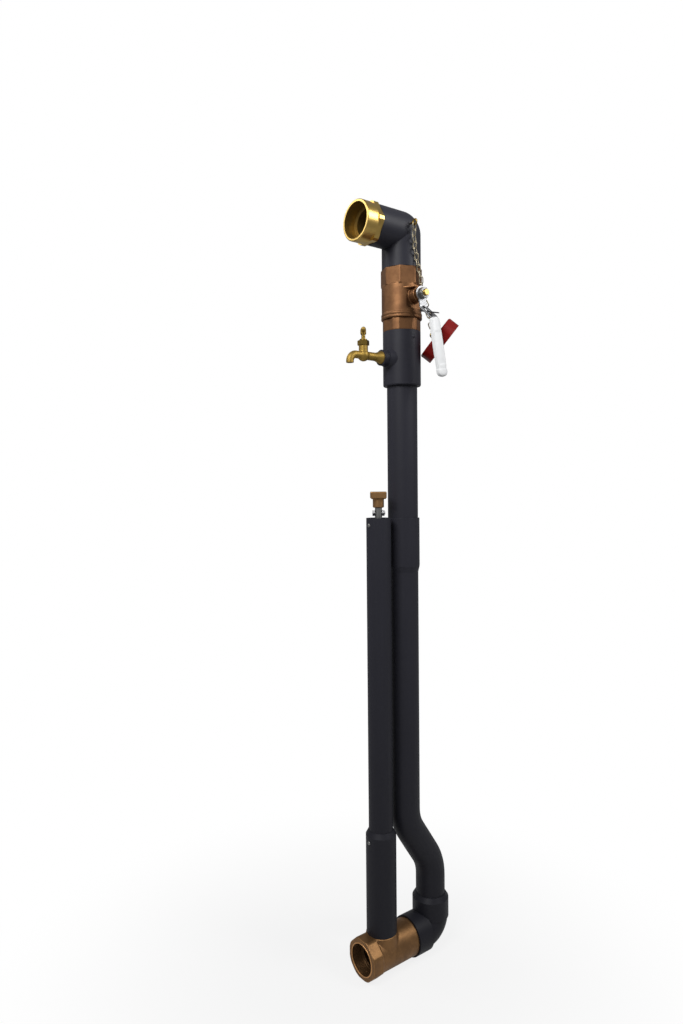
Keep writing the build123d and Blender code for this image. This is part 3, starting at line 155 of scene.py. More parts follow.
class HydrantColours(bpy.types.PropertyGroup):
    """Colours of the hydrant's finishes"""
    pipe: colour("Pipe", "Dark grey rigid pipe plastic", (0.0185, 0.0185, 0.0255))
    pipe_streak: colour("Pipe streak", "Paler drawn streaks in the pipe plastic", (0.0260, 0.0260, 0.0350))
    foot_bronze: colour("Foot bronze", "Brown cast bronze of the foot valve", (0.275, 0.146, 0.060))
    foot_patina: colour("Foot patina", "Darker skin in the foot casting's grain", (0.135, 0.073, 0.034))
    valve_bronze: colour("Valve bronze", "Reddish cast bronze of the ball valve", (0.195, 0.095, 0.042))
    valve_patina: colour("Valve patina", "Darker skin in the valve casting's grain", (0.096, 0.043, 0.020))
    turned_bronze: colour("Turned bronze", "Machined bronze", (0.360, 0.200, 0.085))
    nozzle_brass: colour("Nozzle brass", "Bright yellow brass of the nozzle", (0.580, 0.395, 0.120))
    tap_brass: colour("Tap brass", "Duller yellow brass of the tap", (0.330, 0.215, 0.050))
    steel: colour("Steel", "Plain bright steel", (0.560, 0.560, 0.570))
    chain_steel: colour("Chain", "Dull brownish steel of the chain", (0.350, 0.305, 0.215))
    dull_steel: colour("Dull steel", "Grey steel of the rod, screws and lever nut", (0.240, 0.240, 0.235))
    black_plate: colour("Black plate", "Black coated steel", (0.022, 0.022, 0.024))
    vinyl: colour("Vinyl", "White soft vinyl of the lever's grip", (0.800, 0.810, 0.815))
    cap_red: colour("Cap red", "Dark red paint of the outlet cap", (0.165, 0.005, 0.004))
    seal_white: colour("Seal white", "White low friction seal plastic", (0.800, 0.800, 0.780))
    rubber: colour("Rubber", "Black rubber", (0.020, 0.020, 0.020))
    chrome: colour("Chrome", "Plated ball", (0.700, 0.710, 0.720))


class HydrantSizes(bpy.types.PropertyGroup):
    """Sizes of the small parts that the scene adds"""
    link_wire: length("Link wire", "Radius of the chain's wire", 0.00105)
    glue_bead: length("Glue bead", "Height of the cement left at a pipe joint", 0.0006)
    inlet_pitch: length("Inlet pitch", "Pitch of the thread in the foot's mouth", 0.0022)
    stem_pitch: length("Stem pitch", "Pitch of the thread on the valve stem's end", 0.0012)
    thread_height: length("Thread height", "Height of a thread's crest over its root", 0.0005)
    wear_cell: length("Wear cell", "Mesh size of the pieces with worn edges", 0.0009)
    grip_half: length("Grip half width", "Half the width of the vinyl grip", 0.0126)
    grip_thick: length("Grip half thickness", "Half the thickness of the vinyl grip", 0.0052)
    sand_grain: length("Sand grain", "Relief of the cast surfaces", 0.00022)
    floor_reach: length("Floor reach", "Half the width of the floor", 9.0)


class HydrantStudio(bpy.types.PropertyGroup):
    """Light levels and camera of the studio"""
    key: power("Key", "Power of the large soft lamp", 34)
    fill: power("Fill", "Power of the soft lamp at the right", 25)
    crown: power("Crown", "Power of the lamp at the upper left", 9)
    ambient: share("Ambient", "Level of the plain light from all sides", 0.11)
    mirrored: share("Mirrored", "How much of the white backdrop the hydrant's metal mirrors", 0.20)
    heading: angle("Heading", "Turn of the camera about the vertical", 37.316)
    pitch: angle("Pitch", "Downward tilt of the camera", 1.658)
    roll: angle("Roll", "Roll of the camera", -0.543)


# Shader maths and finishes

class Signal:
    """A number socket, on which Python's operators add Math nodes."""

    def __init__(self, nodes, socket):
        self.nodes = nodes
        self.socket = socket

    def math(self, operation, *values, clamp=False):
        sockets = dict(enumerate(values))
        node = self.nodes.node("ShaderNodeMath", sockets, operation=operation, use_clamp=clamp)
        return Signal(self.nodes, node.outputs[0])

    def __add__(self, other):
        return self.math("ADD", self, other)

    __radd__ = __add__

    def __sub__(self, other):
        return self.math("SUBTRACT", self, other)

    def __rsub__(self, other):
        return self.math("SUBTRACT", other, self)

    def __mul__(self, other):
        return self.math("MULTIPLY", self, other)

    __rmul__ = __mul__

    def held(self):
        """The value kept between 0 and 1."""
        return self.math("ADD", self, 0.0, clamp=True)

    def ramp(self, start, end):
        """0 below start, 1 above end, smooth between them."""
        node = self.nodes.node(
            "ShaderNodeMapRange", {"Value": self, "From Min": start, "From Max": end},
            interpolation_type="SMOOTHSTEP")
        return Signal(self.nodes, node.outputs["Result"])


class Nodes:
    """The nodes of one material or world, each from one method."""

    def __init__(self, tree):
        self.tree = tree
        tree.nodes.clear()

    def node(self, kind, sockets=None, **settings):
        """Any node: its settings first, then the values or links of its sockets."""
        node = self.tree.nodes.new(kind)
        for key, value in settings.items():
            setattr(node, key, value)
        for key, value in (sockets or {}).items():
            self.feed(node.inputs[key], value)
        return node

    def feed(self, socket, value):
        """Link a socket to what makes its value, or set it."""
        if isinstance(value, Signal):
            value = value.socket
        if isinstance(value, bpy.types.NodeSocket):
            self.tree.links.new(value, socket)
        elif socket.type == "RGBA" and len(value) == 3:
            socket.default_value = (*value, 1)
        else:
            socket.default_value = value

    def seen(self, mirrored):
        """1 where the camera or a clear body shows the backdrop, and less where metal mirrors it."""
        path = self.node("ShaderNodeLightPath")
        camera, clear, mirror = (
            Signal(self, path.outputs[f"Is {kind} Ray"]) for kind in ("Camera", "Transmission", "Glossy"))
        return (camera + clear + mirror * mirrored).held()


class Finish(Nodes):
    """A material whose detail is built from nodes."""

    def __init__(self, name, **constants):
        self.material = bpy.data.materials.new(name)
        self.material.use_nodes = True
        super().__init__(self.material.node_tree)
        sockets = {key.replace("_", " "): value for key, value in constants.items()}
        self.shader = self.node("ShaderNodeBsdfPrincipled", sockets)
        self.output = self.node("ShaderNodeOutputMaterial", {"Surface": self.shader.outputs[0]})
        self.place = self.node("ShaderNodeTexCoord").outputs["Object"]

    def vector(self, operation, *values, result="Vector", **named):
        """Vector Math on places and vectors."""
        sockets = {**dict(enumerate(values)), **named}
        return self.node("ShaderNodeVectorMath", sockets, operation=operation).outputs[result]

    def stretched(self, across, along, axis=2):
        """The place on the object, scaled differently along one axis."""
        scale = [across, across, across]
        scale[axis] = along
        return self.vector("MULTIPLY", self.place, scale)

    def noise(self, scale, detail=3.0, roughness=0.5, vector=None):
        """Soft noise between 0 and 1, on the object's own place if no vector is given."""
        node = self.node(
            "ShaderNodeTexNoise",
            {"Vector": vector or self.place, "Scale": scale, "Detail": detail, "Roughness": roughness})
        return Signal(self, node.outputs[0])

    def pits(self, scale):
        """Distance to the nearest of many scattered points."""
        node = self.node("ShaderNodeTexVoronoi", {"Vector": self.place, "Scale": scale})
        return Signal(self, node.outputs["Distance"])

    def height(self):
        """Height of the place above the foot valve's axis."""
        node = self.node("ShaderNodeSeparateXYZ", {0: self.place})
        return Signal(self, node.outputs["Z"])

    def around(self, centre, axis):
        """Distance along a turning axis, and distance from it."""
        away = self.vector("SUBTRACT", self.place, centre)
        along = self.vector("DOT_PRODUCT", away, axis, result="Value")
        line = self.vector("SCALE", axis, Scale=along)
        out = self.vector("SUBTRACT", away, line)
        return Signal(self, along), Signal(self, self.vector("LENGTH", out, result="Value"))

    def inside(self, centre, axis, radius, blur):
        """1 nearer to a turning axis than a radius, 0 past the blur."""
        return 1 - self.around(centre, axis)[1].ramp(radius, radius + blur)

    def rings(self, centre, axis, scale):
        """Fine tool marks round an axis, on walls and faces."""
        along, radius = self.around(centre, axis)
        vector = self.node("ShaderNodeCombineXYZ", {"X": along + radius}).outputs[0]
        return self.noise(scale, 4.0, 0.6, vector)

    def edges(self):
        """1 on convex edges of a closely meshed piece, 0 elsewhere."""
        node = self.node("ShaderNodeNewGeometry")
        return Signal(self, node.outputs["Pointiness"]).ramp(*EDGE_WEAR_AND_HIGHLIGHT)

    def mixed(self, factor, low, high):
        """The colour low where the factor is 0, and high where it is 1."""
        return self.node("ShaderNodeMix", {0: factor, 6: low, 7: high}, data_type="RGBA").outputs[2]

    def colour(self, value):
        self.feed(self.shader.inputs["Base Color"], value)

    def roughness(self, value):
        self.feed(self.shader.inputs["Roughness"], value)

    def relief(self, height, distance):
        """Height from 0 to 1, whose whole range stands for distance."""
        bump = self.node("ShaderNodeBump", {"Distance": distance, "Height": height})
        self.feed(self.shader.inputs["Normal"], bump.outputs[0])


def toned(tone, factor, lift=0.0):
    """A colour made lighter or darker."""
    return [min(1, part * factor + lift) for part in tone]


def pipe_plastic(name, tone, streak, lengthwise=2, roughness=0.50):
    """Drawn or moulded rigid plastic: pale streaks, a soft sheen, and painted shade that darkens it towards
    the bottom.
    """
    finish = Finish(name, IOR=1.46, Specular_IOR_Level=0.22)
    drawn = finish.noise(1.0, 4.0, vector=finish.stretched(150, 2.2, lengthwise))
    cloud = finish.noise(14, 3.0)
    specks = finish.pits(420).ramp(0.10, 0.24)
    base = finish.mixed((drawn * 0.7 + cloud * 0.5 - 0.1).held(), tone, streak)
    speckled = finish.mixed((1 - specks) * 0.25, base, toned(streak, 1.9))
    # Painted shade: the colour darkens towards the bottom, standing for the dimmer light low down
    low_shade = 1 - finish.height().ramp(*LOW_SHADE_FADE)
    finish.colour(finish.mixed(low_shade * 0.5, speckled, toned(tone, 0.15)))
    scuff = finish.noise(90, 5.0, 0.65)
    finish.roughness((roughness - 0.07 + scuff * 0.14).held())
    grain = finish.noise(700, 2.0)
    finish.relief(drawn * 0.6 + grain * 0.4, 0.00006)
    return finish.material


def sand_cast(name, tone, patina, grain, roughness=0.42, fine=620, bore=None):
    """Sand cast bronze: mottled, pebbled, and darkened with painted shade inside a bore, which has a centre,
    an axis and a radius.
    """
    finish = Finish(name, Metallic=0.9)
    mottle = finish.noise(38, 5.0, 0.6)
    broad = finish.noise(9, 2.0)
    sand = finish.noise(fine, 3.0, 0.6)
    pores = finish.pits(300).ramp(0.04, 0.20)
    dark = (mottle.ramp(0.38, 0.68) * 0.5 + (1 - pores) * 0.6 + broad * 0.18).held()
    rubbed = finish.mixed(finish.noise(70, 3.0).ramp(0.55, 0.75) * 0.5, tone, toned(tone, 1.3))
    grained = finish.mixed(dark, rubbed, patina)
    worn = finish.edges() * (0.35 + mottle * 0.5)
    metal = finish.mixed(worn.held(), grained, toned(tone, 1.9))
    # Painted shade: the colour darkens inside the bore, where shade falls in the recess
    if bore:
        metal = finish.mixed(finish.inside(*bore, 0.001) * 0.85, metal, toned(patina, 0.35))
    finish.colour(metal)
    finish.roughness((roughness + mottle * 0.16 + (1 - pores) * 0.12).held())
    finish.relief(sand * 0.55 + mottle * 0.25 + pores * 0.2, grain)
    return finish.material


def machined(name, tone, centre, axis, roughness=0.24, mark=0.00003, dull=0.10, bore=0.0):
    """Lathe turned metal: fine rings round its axis, a faint handling film, and a bore darkened with painted
    shade and made duller.
    """
    finish = Finish(name, Metallic=1.0)
    fine = finish.rings(centre, axis, 2600)
    coarse = finish.rings(centre, axis, 420)
    film = finish.noise(48, 4.0, 0.6)
    # The handling film and the tool rings are real; the darkening inside the bore is painted shade
    inside = finish.inside(centre, axis, bore, 0.0004)
    dimmed = (film.ramp(0.45, 0.8) * 0.45 + coarse * 0.12 + inside * 0.85).held()
    finish.colour(finish.mixed(dimmed, tone, toned(tone, 0.50)))
    finish.roughness((roughness + film * dull + fine * 0.10 - 0.05 + inside * 0.22).held())
    finish.relief(fine * 0.5 + coarse * 0.5, mark)
    return finish.material


def drawn_steel(name, tone, axis, roughness, spotted=0.5):
    """Bright steel with fine lengthwise lines and small dull spots."""
    finish = Finish(name, Metallic=1.0)
    lines = finish.noise(1.0, 3.0, vector=finish.stretched(900, 9, axis))
    spots = finish.noise(120, 4.0, 0.65).ramp(0.55, 0.8)
    finish.colour(finish.mixed(spots * spotted, tone, toned(tone, 0.55)))
    finish.roughness((roughness + lines * 0.08 + spots * spotted * 0.3).held())
    finish.relief(lines, 0.000002)
    return finish.material


def painted(name, tone):
    """Sprayed paint on cast metal: orange peel, darker chips, paler edges painted as a highlight, and a thin
    gloss coat.
    """
    finish = Finish(name, Coat_Weight=0.06, Coat_Roughness=0.22, Specular_IOR_Level=0.12)
    peel = finish.noise(260, 2.0)
    cloud = finish.noise(30, 4.0)
    rub = finish.noise(160, 5.0, 0.7).ramp(0.62, 0.74)
    base = finish.mixed(cloud * 0.8, tone, toned(tone, 1.35))
    chipped = finish.mixed(rub * 0.5, base, toned(tone, 0.35))
    # Painted highlight: paler colour on the cap's convex edges, where light catches the rims
    finish.colour(finish.mixed(finish.edges() * 0.6, chipped, toned(tone, 2.2, 0.03)))
    finish.roughness((0.30 + cloud * 0.14 + rub * 0.2).held())
    finish.relief(peel, 0.00016)
    return finish.material


def soft_vinyl(name, tone):
    """Dipped vinyl: satin skin with a faint pebble, slight greying where it is held."""
    finish = Finish(name, Specular_IOR_Level=0.4, Coat_Weight=0.08, Coat_Roughness=0.3)
    pebble = finish.noise(900, 3.0)
    grime = finish.noise(45, 4.0, 0.6).ramp(0.5, 0.85)
    finish.colour(finish.mixed(grime * 0.35, tone, toned(tone, 0.78)))
    finish.roughness((0.36 + pebble * 0.12 + grime * 0.15).held())
    finish.relief(pebble, 0.00008)
    return finish.material


def plain_rubber(name, tone):
    """Moulded rubber: matt, with a bloom of paler dust."""
    finish = Finish(name, Specular_IOR_Level=0.35)
    bloom = finish.noise(80, 4.0, 0.6).ramp(0.4, 0.8)
    finish.colour(finish.mixed(bloom * 0.4, tone, toned(tone, 2.4)))
    finish.roughness((0.62 + bloom * 0.2).held())
    finish.relief(finish.noise(1100, 2.0), 0.00006)
    return finish.material


def seal_plastic(name, tone):
    """Turned white seal plastic: waxy, with faint tool rings."""
    finish = Finish(name, Specular_IOR_Level=0.4)
    rings = finish.rings(STEM_CENTRE, X, 1800)
    wax = finish.noise(60, 3.0)
    finish.colour(finish.mixed(wax * 0.5, tone, toned(tone, 0.85)))
    finish.roughness((0.34 + rings * 0.14).held())
    finish.relief(rings, 0.00003)
    return finish.material


def black_coat(name, tone):
    """Black oxide on pressed steel: satin, with bright rubbed spots."""
    finish = Finish(name, Metallic=0.6)
    rub = finish.noise(220, 5.0, 0.7).ramp(0.60, 0.78)
    finish.colour(finish.mixed(rub * 0.5, tone, (0.16, 0.16, 0.165)))
    finish.roughness((0.38 + finish.noise(300, 3.0) * 0.2).held())
    finish.relief(finish.noise(800, 3.0), 0.00005)
    return finish.material


def dress(node, material):
    """Give a node of the frame its finish."""
    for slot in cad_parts[node].material_slots:
        slot.material = material


# Mesh work

def placed(name, data):
    """A new object in the scene."""
    thing = bpy.data.objects.new(name, data)
    bpy.context.scene.collection.objects.link(thing)
    return thing


def shown(name, mesh, material):
    """A new object with a smooth mesh of one material."""
    for face in mesh.polygons:
        face.use_smooth = True
    mesh.materials.append(material)
    return placed(name, mesh)


def new_piece(name, mesh, material, body):
    """An object on the given body, with the given finish."""
    piece = shown(name, mesh, material)
    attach(piece, body)
    return piece


def joined(name, builders):
    """One mesh from several lists of points and faces."""
    points, faces = [], []
    for part_points, part_faces in builders:
        start = len(points)
        points += [tuple(point) for point in part_points]
        faces += [[start + index for index in face] for face in part_faces]
    mesh = bpy.data.meshes.new(name)
    mesh.from_pydata(points, [], faces)
    mesh.validate()
    work = bmesh.new()
    work.from_mesh(mesh)
    bmesh.ops.recalc_face_normals(work, faces=work.faces)
    work.to_mesh(mesh)
    work.free()
    return mesh


def built(context, name, key, body, slot, *builders):
    """A piece made of lists of points and faces, with a finish."""
    return new_piece(name, joined(name, builders), finish_for(context, key), body)


def across(axis):
    """Two unit vectors square to an axis and to each other."""
    axis = Vector(axis).normalized()
    first = axis.orthogonal().normalized()
    return first, axis.cross(first)


def skin(rows, around, looped=False):
    """Faces over closed rows of points. The last row joins the first if looped, or else each has a cap."""
    faces = []
    for row in range(rows if looped else rows - 1):
        low, high = row * around, (row + 1) % rows * around
        for step in range(around):
            turn = (step + 1) % around
            faces.append([low + step, high + step, high + turn, low + turn])
    if not looped:
        last = (rows - 1) * around
        faces += [list(range(around)), [last + step for step in reversed(range(around))]]
    return faces


def lathe(profile, centre, axis, sides, looped=False):
    """Points and faces of a profile of (radius, distance along the axis) turned about the axis."""
    centre, axis = Vector(centre), Vector(axis).normalized()
    first, second = across(axis)
    outs = [first * cos(tau * step / sides) + second * sin(tau * step / sides) for step in range(sides)]
    points = [centre + out * radius + axis * along for radius, along in profile for out in outs]
    return points, skin(len(profile), sides, looped)


def swept_ring(loop, section):
    """A closed tube: each point of the loop with its own ring of section offsets."""
    points = []
    for index, point in enumerate(loop):
        forward = (loop[(index + 1) % len(loop)] - loop[index - 1]).normalized()
        points += [point + offset for offset in section(forward)]
    return points, skin(len(loop), len(points) // len(loop), True)


def thread_ridge(centre, axis, radius, pitch, height, start, end, outward=True, per_turn=40):
    """A helical ridge of V section on a round wall, fading out at both ends."""
    centre, axis = Vector(centre), Vector(axis).normalized()
    first, second = across(axis)
    steps = int((end - start) / pitch * per_turn)
    way = 1 if outward else -1
    vee = ((-0.44, -0.25), (-0.08, 1.0), (0.08, 1.0), (0.44, -0.25))
    points = []
    for step in range(steps + 1):
        turn = tau * step / per_turn
        along = start + pitch * step / per_turn
        fade = min(1, step / per_turn, (steps - step) / per_turn)
        out = first * cos(turn) + second * sin(turn)
        for side, rise in vee:
            crest = rise * height * (fade if rise > 0 else 1)
            points.append(centre + axis * (along + side * pitch) + out * (radius + way * crest))
    return points, skin(steps + 1, len(vee))


def islands(mesh):
    """The separate closed shells of a mesh, as lists of points."""
    work = bmesh.new()
    work.from_mesh(mesh)
    bmesh.ops.remove_doubles(work, verts=work.verts, dist=1e-6)
    waiting = set(work.verts)
    found = []
    for start in work.verts:
        if start not in waiting:
            continue
        waiting.remove(start)
        edge, shell = [start], []
        while edge:
            point = edge.pop()
            shell.append(point.co.copy())
            for link in point.link_edges:
                other = link.other_vert(point)
                if other in waiting:
                    waiting.remove(other)
                    edge.append(other)
        found.append(shell)
    work.free()
    return found


def span(points):
    """The lowest and the highest corner of some points."""
    low = Vector([min(point[axis] for point in points) for axis in range(3)])
    high = Vector([max(point[axis] for point in points) for axis in range(3)])
    return low, high


FINISHES = {}


def finish_for(context, key):
    """The material of a finish, made once and shared by all that have it."""
    if key in FINISHES:
        return FINISHES[key]
    tones = context.scene.hydrant_colours
    grain = context.scene.hydrant_sizes.sand_grain
    casing, riser, tap = (*CASING_AXIS, 0), (*RISER_AXIS, 0), (*TAP_AXIS, 0)
    makers = {
        "pipe": lambda: pipe_plastic("pipe_plastic_drawn", tones.pipe, tones.pipe_streak),
        "fitting": lambda: pipe_plastic("pipe_plastic_moulded", tones.pipe, tones.pipe_streak, 1, 0.46),
        "foot": lambda: sand_cast(
            "bronze_cast_brown", tones.foot_bronze, tones.foot_patina, grain, 0.38,
            bore=(FOOT_CENTRE, Y, MOUTH_SHADE_R)),
        "lip": lambda: sand_cast(
            "bronze_rubbed_lip", toned(tones.foot_bronze, 1.5), tones.foot_bronze, grain * 0.3, 0.34),
        "valve": lambda: sand_cast(
            "bronze_cast_red", tones.valve_bronze, tones.valve_patina, grain * 0.28, fine=900),
        "seat": lambda: machined("bronze_turned_foot", tones.turned_bronze, casing, Z),
        "nut": lambda: sand_cast(
            "bronze_forged_nut", toned(tones.turned_bronze, 1.1), tones.foot_bronze, grain * 0.4, 0.30),
        "gland": lambda: machined("bronze_turned_gland", tones.turned_bronze, STEM_CENTRE, X, 0.26),
        "nozzle": lambda: machined(
            "brass_bright", tones.nozzle_brass, NOZZLE_CENTRE, Y, 0.26, 0.00002, 0.08, NOZZLE_SHADE_R),
        "tap": lambda: sand_cast(
            "brass_tap_cast", tones.tap_brass, toned(tones.tap_brass, 0.62), grain * 0.05, 0.46, 1600),
        "tap_turned": lambda: machined("brass_tap_turned", tones.tap_brass, tap, Z, 0.26),
        "stem": lambda: machined("brass_stem", tones.nozzle_brass, STEM_CENTRE, X),
        "eye": lambda: machined("brass_wire", tones.tap_brass, FOOT_CENTRE, Z, 0.28),
        "rod": lambda: drawn_steel("steel_rod", toned(tones.dull_steel, 1.2), 2, 0.34),
        "bolt": lambda: drawn_steel("steel_bolt", toned(tones.steel, 1.2), 0, 0.24),
        "screw": lambda: drawn_steel("steel_screw", tones.dull_steel, 1, 0.42),
        "lever_nut": lambda: drawn_steel("steel_lever_nut", tones.dull_steel, 0, 0.34),
        "lever": lambda: drawn_steel("steel_lever", toned(tones.steel, 0.62), 2, 0.38, 0.3),
        "chain": lambda: drawn_steel("steel_chain", tones.chain_steel, 2, 0.40),
        "plate": lambda: black_coat("steel_black_coat", tones.black_plate),
        "vinyl": lambda: soft_vinyl("vinyl_white", tones.vinyl),
        "cap": lambda: painted("paint_dark_red", tones.cap_red),
        "seal": lambda: seal_plastic("seal_white", tones.seal_white),
        "rubber": lambda: plain_rubber("rubber_black", tones.rubber),
        "ball": lambda: machined("chrome_ball", tones.chrome, riser, Z, 0.08, 0.00001, 0.05),
    }
    FINISHES[key] = makers[key]()
    return FINISHES[key]


class Step:
    """What the add-on's operators share."""
    bl_options = {"REGISTER", "UNDO"}


class FrameFinish(Step):
    """Shared work of the operators that finish nodes of the frame."""
    nodes = {}

    def execute(self, context):
        for key, names in self.nodes.items():
            for name in names:
                dress(name, finish_for(context, key))
        return {"FINISHED"}


class HYDRANT_OT_pipes(FrameFinish, bpy.types.Operator):
    """Finish the pipes and their fittings in dark grey plastic"""
    bl_idname = "hydrant.finish_pipes"
    bl_label = "Pipes"
    nodes = {
        "pipe": [
            "lower_casing_sleeve", "upper_casing_pipe", "offset_riser_pipe", "upper_riser_pipe",
            "valve_nipples",
        ],
        "fitting": ["casing_guide", "lower_elbow", "sampling_tee", "tap_bushing", "upper_elbow"],
    }


class HYDRANT_OT_castings(FrameFinish, bpy.types.Operator):
    """Finish the bronze castings"""
    bl_idname = "hydrant.finish_castings"
    bl_label = "Castings"
    nodes = {
        "foot": ["foot_valve_body"],
        "valve": ["valve_end_piece", "ball_valve_body"],
        "nut": ["operating_nut"],
    }


class HYDRANT_OT_turned(FrameFinish, bpy.types.Operator):
    """Finish the turned bronze, brass and plated parts"""
    bl_idname = "hydrant.finish_turned"
    bl_label = "Turned parts"
    nodes = {
        "seat": ["valve_seat_ring", "plunger", "plunger_face_nut", "stem_guide"],
        "gland": ["packing_gland"],
        "stem": ["valve_stem"],
        "nozzle": ["nozzle_adaptor"],
        "eye": ["chain_eye", "cap_eye"],
        "ball": ["valve_ball"],
    }


class HYDRANT_OT_tap(FrameFinish, bpy.types.Operator):
    """Finish the sampling tap"""
    bl_idname = "hydrant.finish_tap"
    bl_label = "Tap"
    nodes = {"tap": ["tap_body", "tap_handle"], "tap_turned": ["tap_packing_nut", "tap_stem", "tap_jumper"]}


class HYDRANT_OT_steel(FrameFinish, bpy.types.Operator):
    """Finish the rod, the bolt, the lever and its nut"""
    bl_idname = "hydrant.finish_steel"
    bl_label = "Steel"
    nodes = {
        "rod": ["operating_rod", "swivel_pins"],
        "bolt": ["stop_bolt"],
        "lever_nut": ["lever_nut"],
        "lever": ["valve_lever"],
        "plate": ["lock_slide"],
    }


class HYDRANT_OT_soft(FrameFinish, bpy.types.Operator):
    """Finish the grip, the cap, the seals and the rubber"""
    bl_idname = "hydrant.finish_soft"
    bl_label = "Grip, cap and seals"
    nodes = {
        "vinyl": ["lever_grip"],
        "cap": ["outlet_cap"],
        "seal": ["ball_seats", "stem_packing"],
        "rubber": ["plunger_face", "rod_seals", "tap_washer", "cap_gasket"],
    }


def rounded(source, cell, passes):
    """A closely meshed copy of a frame node's mesh, whose edges are worn round."""
    trial = placed("trial", source.data.copy())
    cells = trial.modifiers.new("cells", "REMESH")
    cells.mode = "VOXEL"
    cells.voxel_size = cell
    wear = trial.modifiers.new("wear", "SMOOTH")
    wear.factor = 0.5
    wear.iterations = passes
    mesh = bpy.data.meshes.new_from_object(trial.evaluated_get(bpy.context.evaluated_depsgraph_get()))
    mesh.materials.clear()
    bpy.data.objects.remove(trial)
    return mesh


class WornPieces(Step):
    """Shared work of the operators that round the edges of cast and pressed pieces.

    Each piece has its node, finish, body, slot, mesh size as a share of the wear cell, and rounding passes.
    """
    pieces = ()

    def execute(self, context):
        cell = context.scene.hydrant_sizes.wear_cell
        for node, key, body, slot, fineness, passes in self.pieces:
            mesh = rounded(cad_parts[node], cell * fineness, passes)
            piece = new_piece(node + "_worn", mesh, finish_for(context, key), body)
            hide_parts(node)
        return {"FINISHED"}


class HYDRANT_OT_worn_castings(WornPieces, bpy.types.Operator):
    """Make the bronze castings with the rounded edges that sand casting leaves"""
    bl_idname = "hydrant.make_worn_castings"
    bl_label = "Worn castings"
    pieces = (
        ("foot_valve_body", "foot", "hydrant", "bronze_casting", 1.2, 4),
        ("valve_end_piece", "valve", "hydrant", "bronze_casting", 0.8, 4),
        ("ball_valve_body", "valve", "hydrant", "bronze_casting", 1.0, 3),
        ("operating_nut", "nut", "rod", "bronze_turned", 0.6, 4),
    )


class HYDRANT_OT_worn_tap(WornPieces, bpy.types.Operator):
    """Make the tap's castings with their soft edges"""
    bl_idname = "hydrant.make_worn_tap"
    bl_label = "Worn tap"
    pieces = (
        ("tap_body", "tap", "hydrant", "brass", 0.5, 6),
        ("tap_handle", "tap", "tap_spindle", "brass", 0.5, 6),
    )


class HYDRANT_OT_worn_cap(WornPieces, bpy.types.Operator):
    """Make the painted cap and the pressed lever with their worn edges"""
    bl_idname = "hydrant.make_worn_cap"
    bl_label = "Worn cap and lever"
    pieces = (
        ("outlet_cap", "cap", "cap", "red_cap", 0.8, 3),
        ("valve_lever", "lever", "valve_core", "steel", 0.5, 6),
    )


class HYDRANT_OT_grip(Step, bpy.types.Operator):
    """Make the dipped vinyl grip, with its rounded end and the plain sunk field on its face"""
    bl_idname = "hydrant.make_grip"
    bl_label = "Grip"
    rows = 96
    around = 56
    end_reach = 0.004
    overhang = 0.003
    corner = 0.62
    field_depth = 0.0004
    field_half = 0.66
    field_run = (0.22, 0.80)
    field_fade = 0.02

    def ends(self, mesh):
        """The middles of the grip's two ends in the frame."""
        points = [point.co.copy() for point in mesh.vertices]
        low, high = span(points)
        top = span([point for point in points if point.z > high.z - self.end_reach])
        foot = span([point for point in points if point.z < low.z + self.end_reach])
        return sum(top, Vector()) / 2, sum(foot, Vector()) / 2

    def section(self, place, sizes):
        """Half widths of a section at a share of the length, drawn in round the closed end."""
        swell = sin(pi * min(1, place * 1.15)) ** 0.5 if place < 0.87 else 0.98
        wide = sizes.grip_half * (0.90 + 0.10 * swell)
        thick = sizes.grip_thick * (0.90 + 0.10 * swell)
        lead = max(0, 1 - place / 0.012)
        tail = max(0, (place - 0.90) / 0.10)
        wide_close = max(0.02, 1 - tail ** 2.6) ** 0.5
        thick_close = max(0.02, 1 - tail ** 4) ** 0.5
        return wide * wide_close * (1 - 0.14 * lead), thick * thick_close * (1 - 0.25 * lead)

    def rounded_off(self, value):
        """A sine or cosine drawn out towards a square's corner."""
        return abs(value) ** self.corner * (1 if value >= 0 else -1)

    def field(self, place):
        """1 on the length of the sunk field, fading to 0 past it."""
        start, end = self.field_run
        rise = min(1, max(0, (place - start) / self.field_fade))
        return rise * min(1, max(0, (end - place) / self.field_fade))

    def execute(self, context):
        top, foot = self.ends(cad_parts["lever_grip"].data)
        along = (foot - top).normalized()
        reach = (foot - top).length + self.overhang
        side = X.cross(along).normalized()
        face = along.cross(side).normalized()
        if face.x < 0:
            face = -face
        points = []
        for row in range(self.rows + 1):
            place = (row / self.rows) ** 0.9
            wide, thick = self.section(place, context.scene.hydrant_sizes)
            centre = top + along * (place * reach)
            for step in range(self.around):
                turn = tau * step / self.around
                u, v = self.rounded_off(cos(turn)), self.rounded_off(sin(turn))
                on_field = v > 0.5 and abs(u) < self.field_half
                sunk = self.field_depth * self.field(place) * on_field
                points.append(centre + side * wide * u + face * (thick * v - sunk))
        shape = (points, skin(self.rows + 1, self.around))
        piece = built(context, "grip_vinyl", "vinyl", "valve_core", "white_vinyl", shape)
        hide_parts("lever_grip")
        return {"FINISHED"}


class HYDRANT_OT_cast_details(Step, bpy.types.Operator):
    """Make the ledge over the valve's boss and the lip round the foot's mouth"""
    bl_idname = "hydrant.make_cast_details"
    bl_label = "Cast details"

    def ledge(self):
        """A cast ledge that narrows from the body's wall out over the boss."""
        outline = [*LEDGE_EDGE, *((x, -y) for x, y in reversed(LEDGE_EDGE))]
        centre = Vector(STEM_CENTRE)
        points = []
        for level, size in LEDGE_LEVELS:
            for x, y in outline:
                points.append(centre + Vector((LEDGE_ROOT + (x - LEDGE_ROOT) * size, y * size, level)))
        return points, skin(len(LEDGE_LEVELS), len(outline))

    def execute(self, context):
        built(context, "stem_ledge", "valve", "hydrant", "bronze_casting", self.ledge())
        lip = lathe(LIP_PROFILE, FOOT_CENTRE, Y, 96, True)
        built(context, "mouth_lip", "lip", "hydrant", "bronze_casting", lip)
        return {"FINISHED"}


